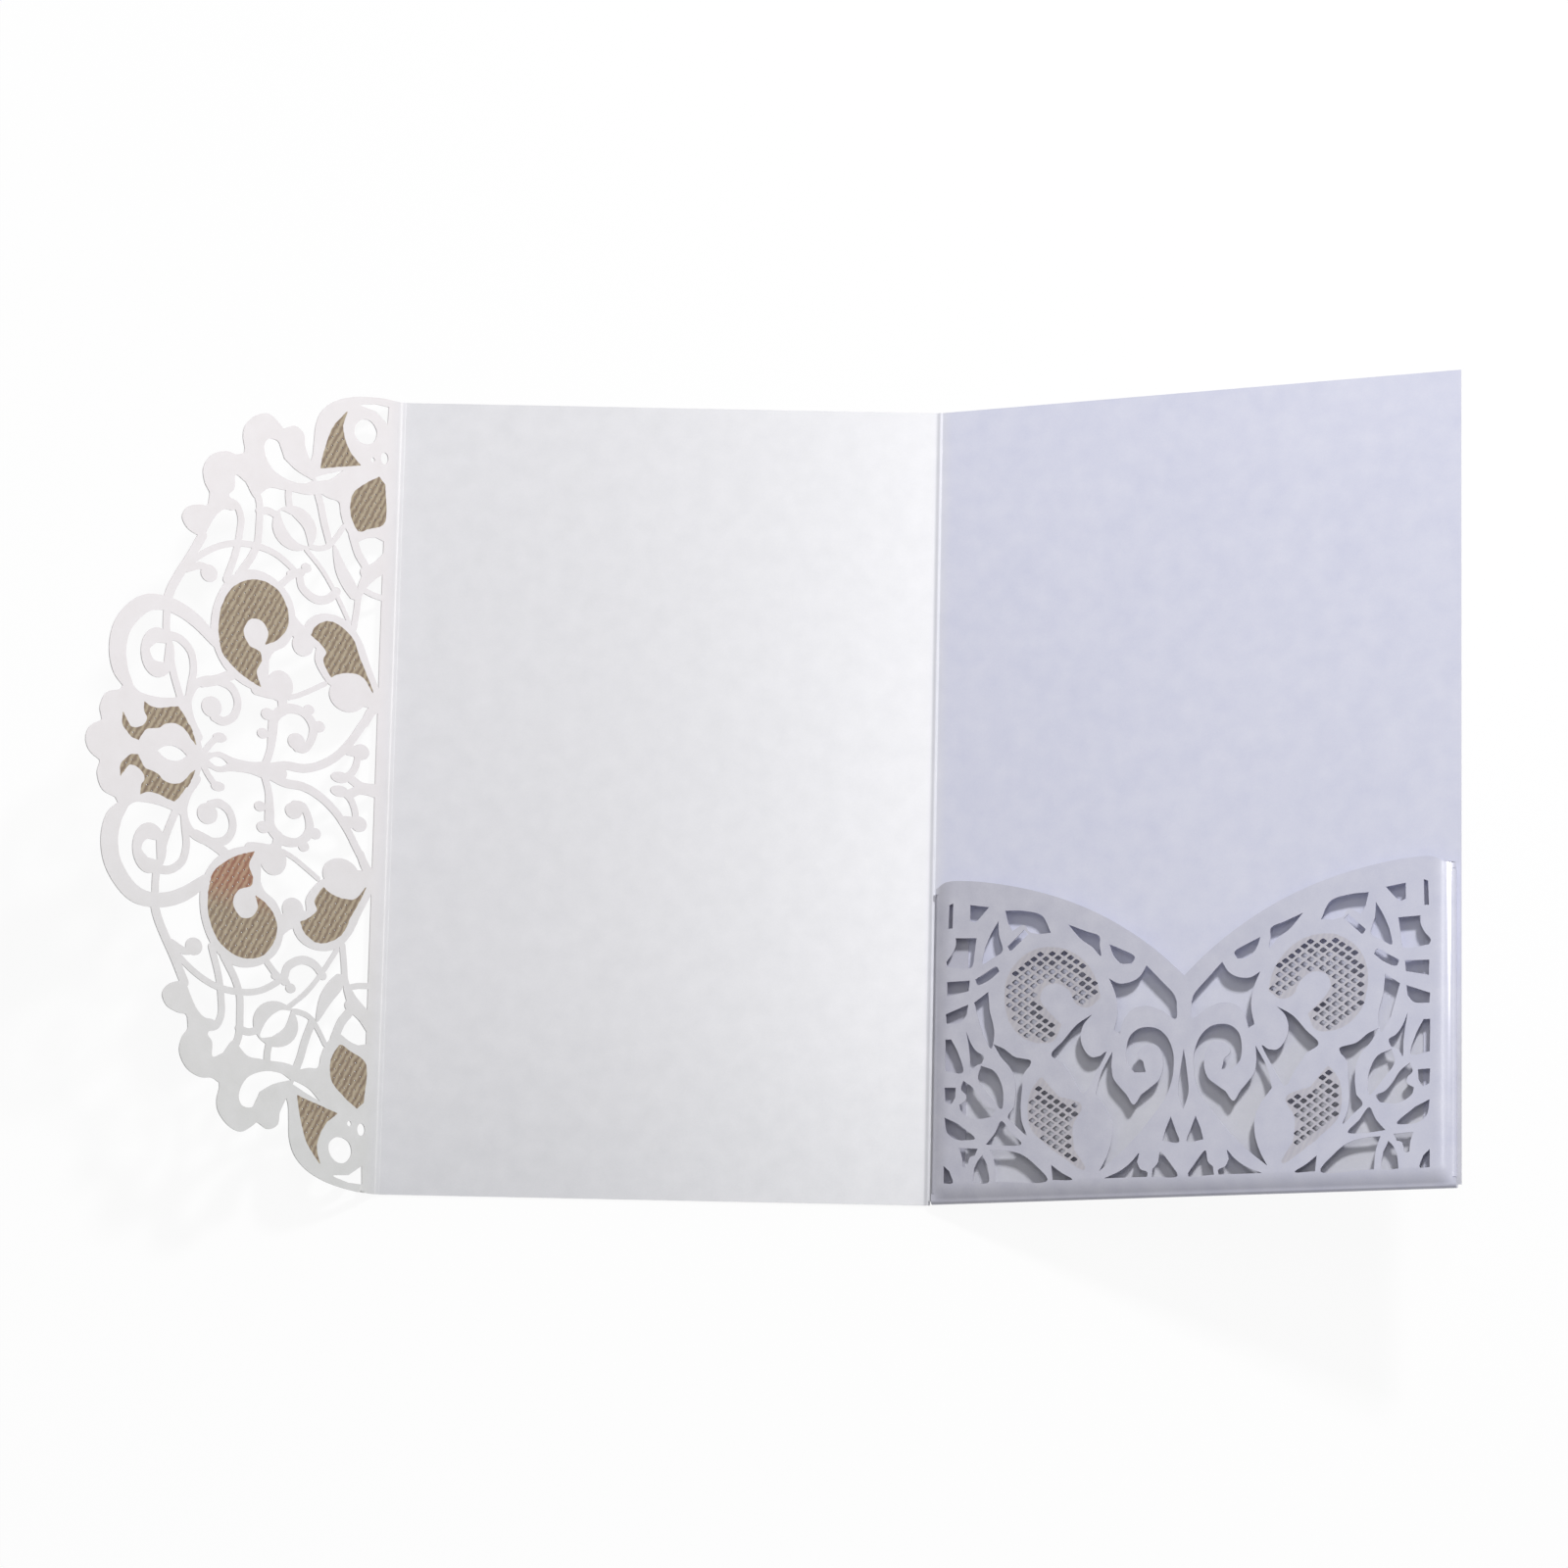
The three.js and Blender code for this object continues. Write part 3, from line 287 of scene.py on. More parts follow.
# The flap's lace: (distance from the fold, height above the middle) of its upper half. The lower
# half is its mirror image. The gaps are cut out of the card, the nets are the netted leaves, and
# the middle gaps lie across the middle line.
FLAP_CARD = [
    outline(
        [(3, 92.5), (5, 92.5), (10, 92), (15, 91), (20, 89), (23.5, 86), (25, 82.5), (25.4, 78),
         (25.8, 74.6)],
        [(28, 71)],
        [(24.5, 67.2), (20.5, 66), (17.7, 65.6)],
        [(17, 63), (15.8, 60.3), (12.6, 57.4), (9, 58.6), (3, 61.2)],
    ),
    outline(
        [(26, 73), (26.9, 74.8), (27.9, 77), (28.4, 79.8), (31, 81.1), (34.3, 79.9)],
        [(34.6, 80.2), (36.2, 81.4), (38.5, 82.5), (42, 81.5), (45, 78.5), (45.5, 76),
         (44.9, 73.2)],
        [(45, 72.2), (47, 71.4), (50, 71.6), (54, 70), (56.2, 66.5), (55.6, 63.2), (54.2, 61.2)],
        [(54.2, 60.2), (54.7, 58.2), (57, 57.9), (60.2, 56.7), (61.5, 54.3), (60, 52),
         (56.8, 50.8)],
        [(55.2, 50.8), (53.7, 53.8), (52, 56.4), (49.8, 58.1), (47.4, 58.3)],
        [(45.9, 59.4), (48.7, 61.6), (47.4, 63.3), (47.1, 66.6)],
        [(44.2, 65.4), (41.4, 62.2), (40, 63.4), (37.5, 65.3), (33, 65.6), (24, 66.6)],
    ),
    disc(30, 57.2, 6.3, 5.2),
    ribbon(1.8, (31.4, 61), (32, 64), (32, 66.8)),
    ribbon(1.7, (35, 59.2), (37.5, 59.9), (40.3, 59.4)),
    ribbon(2, (23.9, 66.8), (22.8, 64), (21.6, 60), (19.8, 55.4)),
    ribbon(1.9, (45.2, 43.6), (41.7, 48.6), (40.3, 52), (40, 56), (40.1, 61), (41.5, 64.5)),
    ribbon(1.8, (48.6, 42), (46.3, 48.4), (45.4, 53), (45.2, 57), (46.6, 59.6), (50, 60.3)),
    ribbon(2.3, (64.8, 34), (63.6, 37.4), (61.6, 41), (58.8, 45.4), (55.6, 51)),
    ribbon(
        1.5, (61.5, 41.6), (57, 45.6), (52, 48.8), (46.5, 50.8), (40.5, 51.2), (35, 50.3),
        (30.5, 48), (28, 46),
    ),
    disc(53.4, 42.6, 2.3, 2),
    ribbon(1.7, (53.6, 43.6), (56, 43.9), (59.5, 42.6)),
    ribbon(
        4, (74.2, 13.6, 2.6), (76.6, 17, 4.2), (77.5, 21.5, 4.6), (76.6, 26.2, 4.6), (74, 30, 4.4),
        (70.4, 32.8, 4), (66, 33.7, 3.4), (61, 33, 3.3), (56.3, 31, 3.2), (51, 27.3, 2.6),
    ),
    ribbon(1.9, (64.5, 33.4), (64.5, 28), (63.4, 23), (62.2, 18.6), (60, 13.2)),
    disc(66.6, 22.2, 4.6, 5.7),
    ribbon(1.9, (64.3, 26.6), (60.8, 26.3), (57.6, 23.9), (56.6, 20.2), (57.2, 16), (57.6, 13)),
    outline(
        [(53, -0.5), (53.6, 3), (55, 6), (57, 9.6), (57.2, 12.8)],
        [(58.6, 13.6), (62, 12.6), (66, 12.1), (71, 12.5), (74.4, 14.4)],
        [(76.4, 12.2), (80, 10.9), (81.6, 7.4), (81, 4.6)],
        [(81.6, 4.2), (83.4, 3.2), (84.6, 1.8), (85, 0), (84.8, -1)],
    ),
    ribbon(
        2, (54.4, 4.8), (57, 9), (57.7, 12.8), (55.6, 16.8), (50.6, 18.4), (45.8, 17.4), (44, 14.2),
        (45.2, 10.8), (48, 9.4), (50.5, 10),
    ),
    disc(51.2, 12.2, 2.8, 2.4),
    disc(48.6, 5.6, 1.9, 1.1),
    ribbon(1.5, (49.4, 5.4), (51.4, 3.4), (53.2, 1)),
    ribbon(
        3.2, (55, 0), (51.5, 0, 3.4), (48.5, 0, 4.6), (45, 0, 3.2), (40, 0, 2.7), (35, 0, 4),
        (31, 0, 3),
    ),
    ribbon(
        2, (36, 0.5), (34.4, 5), (34, 9, 2.6), (33.6, 12.4, 2.6), (30.5, 15, 2.4), (25.6, 15),
        (22.6, 12.2, 2.4), (23.2, 8.6), (24.8, 6.7), (27, 6.6),
    ),
    disc(27.2, 8, 2.4, 1.9),
    disc(36.7, 8.4, 1.6, 1.2),
    disc(73.4, 5, 1.5, 1.5),
    disc(35.6, 13, 1.8, 1.4),
    disc(20.8, 12.4, 1.5, 1.3),
    disc(24, 15.8, 1.5, 1.2),
    ribbon(
        2, (34, 1), (30, 2), (25, 2.1), (20.5, 3.4), (15.8, 6.2), (12, 10), (8.6, 14.6), (5, 19.4),
    ),
    disc(8.6, 8.4, 2.3, 1.8),
    ribbon(2.6, (12.6, 8.4), (8.8, 8.2)),
    disc(14.4, 1.6, 2.6, 1.3),
    ribbon(1.8, (14.4, 1.2), (11.6, 2.6), (10, 5), (9.4, 8)),
    ribbon(2.2, (11.8, 2), (8.4, 0.4), (3, 0, 3.4)),
    ribbon(2.2, (7.8, 15.4), (6, 18.4), (3, 19.6)),
    outline(
        [(36.4, 17.6), (40, 18), (44, 19.2), (48.4, 22), (51.2, 26), (52.3, 30), (51.6, 36),
         (48.6, 41.6), (44.6, 44.6), (40, 45.6), (34.4, 44.2), (30.2, 40.6), (28.8, 36),
         (29.4, 32.4), (31.4, 29.4), (34.6, 27.4)],
        [(35.8, 25.4), (35.8, 21.6)],
    ),
    disc(32.4, 20, 3.7, 3.6),
    ribbon(2.6, (31.2, 14.6), (31.8, 18)),
    ribbon(3, (33.6, 18.2), (36, 18.2), (39, 18.4)),
    ribbon(1.2, (29.6, 17.8), (26.6, 18.9), (19.6, 22.6)),
    ribbon(2.4, (46, 20.4), (50, 18.6), (54, 17.4)),
    disc(26.4, 30.6, 3, 2.7),
    ribbon(4, (24.4, 32), (28, 33.6), (31, 36)),
    ribbon(1.6, (33, 43.6), (30.6, 45.8), (28, 47.4)),
    outline(
        [(3, 21), (4.8, 25), (7, 29), (9.6, 34), (13.4, 37.8), (18.8, 39), (23.6, 37.8), (26, 35.2),
         (26.2, 32)],
        [(22.6, 30.4), (22.8, 27.6), (20.8, 24.6), (18.4, 22.6), (12, 21)],
    ),
    disc(13.2, 20.8, 5.2, 3.8),
    ribbon(2.6, (8.8, 20.4), (3, 20.4, 3.4)),
    ribbon(1.7, (12, 37), (11.4, 41), (10.8, 45), (8.6, 48.4), (3, 52.8)),
    ribbon(1.4, (3, 45.2), (7, 45.6), (10.6, 46.6)),
    ribbon(1.2, (13.4, 38), (17.4, 43.8), (21.6, 48.8), (26.4, 52.8)),
    ribbon(
        2, (31, 46.4, 1.4), (28.4, 46.6), (27.2, 43.8), (23.4, 41.8), (19.9, 42.3), (17.2, 44.6),
    ),
    disc(26.2, 48.6, 1.4, 1.1),
    ribbon(1.3, (27.8, 46.4), (26.6, 48.2)),
    outline(
        [(13.2, 43.6), (15.2, 45.4), (17.4, 48.4), (18.4, 51.4), (18.6, 55.4)],
        [(14.6, 50.4), (11.4, 46.4), (10.6, 43.6)],
    ),
    ribbon(1.3, (27, 54), (23.6, 53.7), (20.4, 54.6), (17.8, 57.4), (16, 60)),
    ribbon(2.2, (10.2, 46.6), (9, 51), (11.6, 54.6), (13.4, 58.6)),
    ribbon(2.4, (9.6, 50.4), (6, 52.4), (3, 55.4)),
    ribbon(2.4, (3, 59.6), (8, 60.4), (12, 58.4)),
]
FLAP_GAPS = [
    outline(
        [(7.4, 84.2), (9, 86.2), (11.4, 86.4), (13.5, 84.8), (13.9, 82.6), (12.4, 81), (10.2, 80.7),
         (8, 81.8)],
    ),
    outline([(4.3, 86.5)], [(4.1, 90.7)], [(8, 90.7), (12.3, 89.6)], [(8, 89)]),
    disc(4.9, 78.3, 1.1, 1.4),
    disc(8.3, 77.3, 0.6),
    outline([(16.8, 73.2), (20.5, 71.9)], [(24.6, 70.2)], [(24.2, 69.3), (20, 70.7)]),
    outline(
        [(25.2, 69.3), (28, 68.1), (33, 68.3), (37.6, 70.5), (39.5, 74.6), (38.4, 76.6),
         (35.6, 76.6), (34.6, 75)],
        [(33.6, 72.9), (30, 70.8)],
    ),
    outline([(25.7, 53.6), (29, 54), (32.4, 56.6), (34.2, 60.6)], [(30.8, 60.2), (27.4, 57.6)]),
    outline([(64.8, 20.2)], [(64.4, 24.6)], [(67, 24.4), (68.8, 22.6), (67.6, 20.4)]),
]
FLAP_NETS = [
    outline(
        [(16.2, 87.3), (20, 83), (21.7, 79), (22.8, 75)],
        [(23.2, 72.6), (16, 74.4)],
        [(11.8, 75.4), (14.8, 77.8), (16.7, 81), (17.3, 83.8)],
    ),
    outline(
        [(6.3, 73.6), (10, 71.4), (13.6, 68.3), (14.3, 65.5), (13.8, 62.5), (11.5, 59.8)],
        [(9, 60.8), (4.4, 63)],
        [(4.4, 72)],
    ),
    outline(
        [(75.3, 7.2), (75.3, 4.5), (74, 3.1), (72.6, 2)],
        [(70.8, 1.7), (69.8, 3.3), (68.7, 4.5), (67, 4.9), (65.3, 5.3), (63.8, 6.4), (62, 6.9),
         (60.2, 6.8), (58.6, 6.2), (57.5, 5.3), (56.3, 3.9)],
        [(55.1, 2.9), (55.5, 4.1), (56.5, 6.1), (57.7, 7.7), (58.9, 9.2)],
        [(60.4, 10.8), (62.6, 10.3), (65.6, 9.6), (68, 9.7)],
        [(69.7, 10.5), (69.5, 8.3), (68.7, 7), (69.1, 5.8), (70.3, 4.7), (71.7, 4.2), (73.2, 4.4),
         (74.1, 5.5)],
    ),
    outline(
        [(50.2, 30), (49.6, 35.4), (46.4, 40.7), (40, 43.4), (34.2, 42), (31.2, 38), (30.8, 35),
         (31.6, 32.8), (34, 30.4)],
        [(37, 28.9), (36.2, 31.6), (38, 34), (41, 34.3), (43.3, 31.2), (41.6, 28), (38.4, 26.8)],
        [(37.9, 25), (39.2, 22.2)],
        [(37.8, 18.9), (42, 20.4), (45.4, 22.2), (49, 25.4)],
    ),
    outline(
        [(24.2, 33.2), (22.9, 35.4), (19.4, 37.2), (15.4, 36.4), (12, 34), (10, 30), (7.2, 25.4)],
        [(5.9, 22.7), (8.8, 25.8), (12.4, 26.3), (16.2, 25.4)],
        [(18, 24.4), (19.2, 25.8), (20.4, 28), (19.6, 29.8), (21.3, 31.6)],
    ),
]
FLAP_MIDDLE_GAPS = [
    outline(
        [(57.4, 0), (59.2, 1.2), (61.5, 1.7), (63.8, 1.2)],
        [(65.6, 0), (63.8, -1.2), (61.5, -1.7), (59.2, -1.2)],
    ),
    outline(
        [(46.2, 0), (47.4, 0.8), (49, 1.1), (50.4, 0.7)],
        [(51.4, 0), (50.4, -0.7), (49, -1.1), (47.4, -0.8)],
    ),
]

# The pocket's lace: (distance from the right fold, height above the pocket's foot) of the half
# beside that fold. The other half is its mirror image.
POCKET_RIM = [
    (1.5, 72.4), (4, 73.6), (10, 73.6), (20, 72), (30, 69.3), (40, 65.2), (49, 60), (56, 54.8),
    (61.7, 49.6),
]
POCKET_GAPS = [
    outline([(10.3, 68.05)], [(14.9, 67.35)], [(13.4, 65.65), (11.6, 64.05)], [(10.3, 64.45)]),
    outline([(5, 62.85)], [(5.2, 68.25)], [(6.2, 68.65)], [(6.1, 62.85)]),
    outline(
        [(6.9, 60.55)],
        [(12, 60.35)],
        [(11.6, 57.15), (10.8, 53.65)],
        [(5, 53.95), (4.6, 55.05), (6, 56.85), (6.9, 58.85)],
    ),
    outline(
        [(11.8, 50.85), (14, 52.05), (16.9, 53.55)],
        [(17.6, 52.45), (15.4, 50.65), (12.4, 49.55)],
    ),
    outline(
        [(17.2, 64.05), (17.4, 60.85), (18.3, 57.05)],
        [(15.8, 55.45), (13.5, 54.35)],
        [(14, 57.85), (15.5, 61.25)],
    ),
    outline([(4.9, 50.55)], [(10.5, 50.65)], [(10.3, 48.25)], [(5, 47.15)]),
    outline([(4.7, 43.15)], [(10.2, 45.15)], [(9.9, 42.85), (8.4, 41.25)], [(4.9, 40.95)]),
    outline(
        [(11.6, 45.55)],
        [(15, 47.85)],
        [(15.4, 43.65), (16.6, 38.45), (15.9, 34.85)],
        [(13.7, 38.25), (12.6, 42.05)],
    ),
    outline([(4.7, 37.35)], [(6.2, 37.35), (8, 34.05), (9.1, 29.65)], [(4.8, 30.15)]),
    outline(
        [(9.8, 39.05), (11.1, 36.05), (12.5, 34.25), (14.2, 33.15)],
        [(13.7, 31.55), (12, 30.85), (11, 29.25)],
        [(10.8, 32.65), (10.4, 35.65)],
    ),
    outline(
        [(13.5, 31.05), (16.7, 29.65), (18.5, 26.65), (19, 23.65), (18.6, 20.95)],
        [(15, 24.85), (12.8, 28.05)],
    ),
    outline([(4.7, 26.35)], [(7.5, 26.25)], [(7.4, 24.05), (6.4, 22.55)], [(4.9, 23.05)]),
    outline(
        [(9.3, 27.75), (11.4, 26.25), (13.4, 23.45), (15.2, 21.65), (17.1, 20.85)],
        [(16.2, 19.25), (12, 18.95), (8.8, 20.85)],
        [(8.4, 22.25), (10, 23.35), (9.9, 24.55), (8.7, 25.85)],
    ),
    outline([(4.8, 19.55)], [(8.2, 17.95), (12.3, 14.45)], [(9, 14.15), (7, 14.75), (5.4, 16.25)]),
    outline(
        [(8.5, 12.45)],
        [(13, 12.15)],
        [(12.4, 10.65), (11.2, 10.25), (10.4, 7.95)],
        [(9.4, 8.15), (9.2, 10.25)],
    ),
    outline(
        [(14.2, 10.65)],
        [(15.4, 8.25), (15.7, 4.45)],
        [(11.9, 4.45)],
        [(12.2, 7.65), (13.1, 9.45)],
    ),
    outline([(4.8, 4.55)], [(4.8, 8.55)], [(6.3, 7.15), (7.1, 4.55)]),
    outline(
        [(16, 11.75), (20, 11.45), (23.6, 10.45), (26.8, 8.05), (29.8, 4.45)],
        [(17.5, 4.45), (17.1, 8.45)],
    ),
    outline(
        [(14.9, 13.05), (17, 15.45), (18.6, 18.25)],
        [(20.8, 15.65), (23.5, 12.85)],
        [(19, 12.55)],
    ),
    outline([(30.6, 7.95), (33, 6.15), (35.7, 4.45)], [(31, 4.45)]),
    outline(
        [(18.8, 66.35), (23.5, 66.05), (27.7, 64.75)],
        [(29.9, 60.75)],
        [(27, 60.55), (24.6, 61.25), (23.4, 62.85)],
        [(20.6, 61.55)],
        [(19.5, 63.45)],
    ),
    outline([(19.5, 58.05)], [(23.5, 61.75)], [(24.5, 60.65)], [(21.9, 58.35), (20.2, 57.05)]),
    outline(
        [(34, 62.45), (38.2, 60.75), (41.5, 59.35)],
        [(41.6, 57.25), (41.9, 54.85)],
        [(39.8, 57.05), (37, 59.05)],
    ),
    outline(
        [(43.9, 57.45), (46.6, 56.25), (50, 54.25)],
        [(49.3, 52.85), (46.8, 52.95), (44.9, 54.85)],
    ),
    outline(
        [(43.9, 49.65), (46.2, 48.45), (49, 48.65), (51.2, 49.85)],
        [(52.8, 52.25)],
        [(56, 48.95), (59.4, 45.25)],
        [(60, 43.65), (59.8, 39.85)],
        [(56.5, 41.85), (53, 43.05), (49.6, 42.45), (47.6, 40.25)],
        [(46.6, 37.05)],
        [(45.2, 37.85), (46, 42.05), (45.4, 46.05)],
    ),
    outline(
        [(16.4, 35.85), (19, 34.65), (21.6, 32.75), (25.5, 31.65)],
        [(25.2, 30.45), (23.9, 28.85), (23.4, 24.65), (23.2, 20.65), (23.6, 17.65), (24.7, 14.75)],
        [(21.8, 17.25), (20.1, 19.05)],
        [(21.6, 21.25), (21.9, 24.65), (21.5, 28.25), (20.2, 30.65), (18.2, 32.85)],
    ),
    outline(
        [(40, 41.65), (36.3, 39.45), (33.2, 36.05), (30.3, 32.85)],
        [(33, 30.95), (35.4, 27.65), (38, 23.75)],
        [(40.6, 27.45), (43.4, 33.05)],
        [(42, 32.15), (40, 31.95), (38.1, 33.85), (37.3, 36.65), (38, 39.45)],
    ),
    outline(
        [(52.8, 28.05)],
        [(50.2, 28.05), (48.5, 29.95), (48.1, 32.85), (48.8, 36.05), (50.8, 37.85), (53.3, 38.25),
         (55.7, 37.65), (57.8, 35.75), (59.2, 32.45), (59.4, 29.25), (58.9, 25.65), (57.3, 21.85),
         (54.4, 17.95), (50.6, 13.55), (46.4, 9.55)],
        [(42, 6.05), (43.8, 9.45), (44.9, 13.05), (45, 16.65), (43.6, 20.05)],
        [(41, 23.45), (42.3, 28.25)],
        [(44.9, 33.05)],
        [(44.7, 29.65), (45.2, 26.95), (46.8, 24.85), (48.4, 23.05), (50, 20.85)],
        [(51.8, 23.05), (53.9, 24.55), (56, 26.35), (56.9, 29.25), (56.5, 32.25), (54.9, 34.25),
         (52.4, 34.05), (50.7, 32.05)],
        [(52.2, 30.45)],
    ),
    outline(
        [(43.2, 4.45), (47, 6.05), (49.6, 7.95), (51.4, 9.85)],
        [(51, 7.85), (51.8, 6.25), (53.4, 5.55)],
        [(53.4, 4.45)],
    ),
    outline(
        [(54.4, 4.45)],
        [(54.6, 6.25), (55.8, 7.45), (56.4, 9.95)],
        [(58.7, 7.45), (60.5, 4.45)],
    ),
    outline([(58.8, 17.85)], [(59.9, 14.95), (60.8, 12.05)], [(56.9, 12.45)], [(57.6, 15.05)]),
]
POCKET_NETS = [
    outline(
        [(41.6, 45.4), (40.6, 49.4), (37.6, 53.8), (33, 56.6), (27, 57), (22.2, 54.4), (19.6, 50),
         (19.4, 45), (21, 40), (25, 36.6), (30.6, 36.2)],
        [(32.4, 39.6), (29.6, 42.2), (27.2, 45.6), (28.4, 48.6), (31.6, 49.4), (34.8, 47.4),
         (36.4, 44.4), (39, 43.6)],
    ),
    outline(
        [(28, 27.6), (25.8, 24.4), (25.2, 20.4), (26, 16.4)],
        [(31, 11.6), (38.4, 6.8)],
        [(35.8, 11), (35.4, 16.6), (37.4, 21)],
        [(32, 23)],
    ),
]
POCKET_MIDDLE_GAPS = [
    outline([(61.7, 33), (60.9, 28), (60.5, 23)], [(61.7, 19.4), (62.9, 23), (62.5, 28)]),
]


def on_flap(points, side):
    """The flap lies left of its fold in the flat sheet."""
    return np.stack((LEFT_FOLD - points[:, 0], side * points[:, 1]), 1)


def unrolled(height):
    """Where a height above the pocket's foot lies in the flat sheet."""
    return 2 * FOOT - TURN - (height - HALF)


def on_pocket(points, side):
    """The pocket front lies below the back panel's foot in the flat sheet."""
    x = points[:, 0] if side > 0 else 2 * POCKET_MIDDLE - points[:, 0]
    return np.stack((RIGHT_FOLD + x, unrolled(points[:, 1])), 1)


def rectangle(left, low, right, high):
    return np.array(((left, low), (right, low), (right, high), (left, high)), float)


def is_inside(points, loop):
    """Which points a closed line goes round, however often."""
    low, high = loop.min(0), loop.max(0)
    near = np.flatnonzero(((points >= low) & (points <= high)).all(1))
    x, y = points[near, 0][:, None], points[near, 1][:, None]
    ax, ay = loop[:, 0], loop[:, 1]
    bx, by = np.roll(loop, -1, 0).T
    side = (bx - ax) * (y - ay) - (x - ax) * (by - ay)
    rising = (ay <= y) & (by > y) & (side > 0)
    falling = (by <= y) & (ay > y) & (side < 0)
    found = np.zeros(len(points), bool)
    found[near[rising.sum(1) != falling.sum(1)]] = True
    return found


def widened(loop, by):
    """A loop with every point moved outwards."""
    after, before = np.roll(loop, -1, 0), np.roll(loop, 1, 0)
    along = after - before
    along /= np.maximum(np.linalg.norm(along, axis=1), TINY)[:, None]
    area = (loop[:, 0] * after[:, 1] - loop[:, 1] * after[:, 0]).sum()
    outwards = np.stack((along[:, 1], -along[:, 0]), 1) * (1 if area > 0 else -1)
    return loop + outwards * by


# The netting is a diagonal grid of small burnt holes. On the flap they are tiny, because the
# photo shows only scorched card with streaks there and nothing of the table.
NET_PITCH = (1.45, 1.02)
NET_MARGIN = 0.35
FLAP_HOLE = (0.26, 0.18)
POCKET_HOLE = (0.95, 0.68)
HOLE_CORNER = np.array(((0.9, 0.12), (0.5, 0.55), (0.12, 0.9)))
HOLE_SHIFT = 0.05
HOLE_SCALE = (0.92, 1.04)
dice = random.Random(7)


def net_holes(area, size):
    """The holes whose middles fall well inside a netted area."""
    corner = HOLE_CORNER * size
    shape = np.concatenate((corner, corner[::-1] * (-1, 1), -corner, corner[::-1] * (1, -1)))
    columns, rows = (
        range(math.floor(low / pitch), math.ceil(high / pitch) + 1)
        for low, high, pitch in zip(area.min(0), area.max(0), NET_PITCH)
    )
    grid = np.array([
        (column * NET_PITCH[0], row * NET_PITCH[1])
        for row in rows for column in columns if (row + column) % 2 == 0
    ])
    holes = []
    for middle in grid[is_inside(grid, widened(area, -NET_MARGIN))]:
        shift = (dice.uniform(-HOLE_SHIFT, HOLE_SHIFT), dice.uniform(-HOLE_SHIFT, HOLE_SHIFT))
        holes.append(middle + shift + shape * dice.uniform(*HOLE_SCALE))
    return holes


# The panels, the lace and the pocket front in the flat sheet, and all that is cut from them.
card_loops = [
    rectangle(LEFT_FOLD - FLAP_MARGIN, -HALF, RIGHT_FOLD + BACK_REACH, HALF),
    rectangle(RIGHT_FOLD, FOOT, RIGHT_FOLD + PANEL_WIDTH, HALF),
]
cut_loops, flap_nets, pocket_nets = [], [], []
for side in (1, -1):
    card_loops += [on_flap(loop, side) for loop in FLAP_CARD]
    cut_loops += [on_flap(loop, side) for loop in FLAP_GAPS]
    flap_nets += [on_flap(loop, side) for loop in FLAP_NETS]
    cut_loops += [on_pocket(loop, side) for loop in POCKET_GAPS]
    pocket_nets += [on_pocket(loop, side) for loop in POCKET_NETS]
cut_loops += [on_flap(loop, 1) for loop in FLAP_MIDDLE_GAPS]
cut_loops += [on_pocket(loop, 1) for loop in POCKET_MIDDLE_GAPS]
hole_loops = [hole for area in flap_nets for hole in net_holes(area, FLAP_HOLE)]
hole_loops += [hole for area in pocket_nets for hole in net_holes(area, POCKET_HOLE)]

front_left, front_right = RIGHT_FOLD + POCKET_LEFT, RIGHT_FOLD + POCKET_RIGHT
rim = np.array(curve(POCKET_RIM, False))[:, :2]
head = np.concatenate((on_pocket(rim, 1), on_pocket(rim, -1)[::-1][1:]))
head[0, 0], head[-1, 0] = front_left, front_right
card_loops.append(np.array(((front_left, FOOT), *head, (front_right, FOOT))))

# The glued tabs, and the nicks that part them from the pocket front above and below.
NICK = 0.12
TAB_STEPS = 10
tab_low, tab_high = unrolled(TAB_TOP), unrolled(TAB_FOOT)
fold_lines = []
for edge, way in ((front_left, -1), (front_right, 1)):
    start = edge - way * TAB_BEND
    end = start + way * (TAB_TURN + TAB_WIDTH)
    card_loops.append(rectangle(min(start, end), tab_low, max(start, end), tab_high))
    for low, high in ((tab_low - NICK, tab_low), (tab_high, tab_high + NICK)):
        cut_loops.append(rectangle(min(start, end), low, max(start, end), high))
    for step in range(TAB_STEPS + 1):
        x = start + way * TAB_TURN * step / TAB_STEPS
        fold_lines.append(((x, tab_low), (x, tab_high)))

# Lines across every bend, where the sheet's triangles have to end: the two folds with their
# beads, the turn at the pocket's foot and the edges of the pocket front, where it swells out.
BEND_STEPS = 4
TURN_STEPS = 12
SWELL_STEPS = 8
for step in range(-BEND_STEPS, BEND_STEPS + 1):
    for fold, reach in ((LEFT_FOLD, FLAP_REACH), (RIGHT_FOLD, BACK_REACH)):
        x = fold + reach * (step / BEND_STEPS)
        fold_lines.append(((x, -HALF), (x, HALF)))
for fold in (LEFT_FOLD, RIGHT_FOLD):
    for step in range(-BEND_STEPS, BEND_STEPS + 1):
        x = fold + BEAD_REACH * step / BEND_STEPS
        fold_lines.append(((x, -HALF), (x, HALF)))
for step in range(TURN_STEPS + 1):
    y = FOOT - TURN * step / TURN_STEPS
    fold_lines.append(((front_left, y), (front_right, y)))
for step in range(SWELL_STEPS + 1):
    inwards = SWELL_REACH * step / SWELL_STEPS
    y = FOOT - TURN - inwards
    fold_lines.append(((front_left, y), (front_right, y)))
    for x in (POCKET_LEFT + TAB_BEND + inwards, POCKET_RIGHT - TAB_BEND - inwards):
        fold_lines.append(((RIGHT_FOLD + x, FOOT - TURN), (RIGHT_FOLD + x, head[0, 1])))

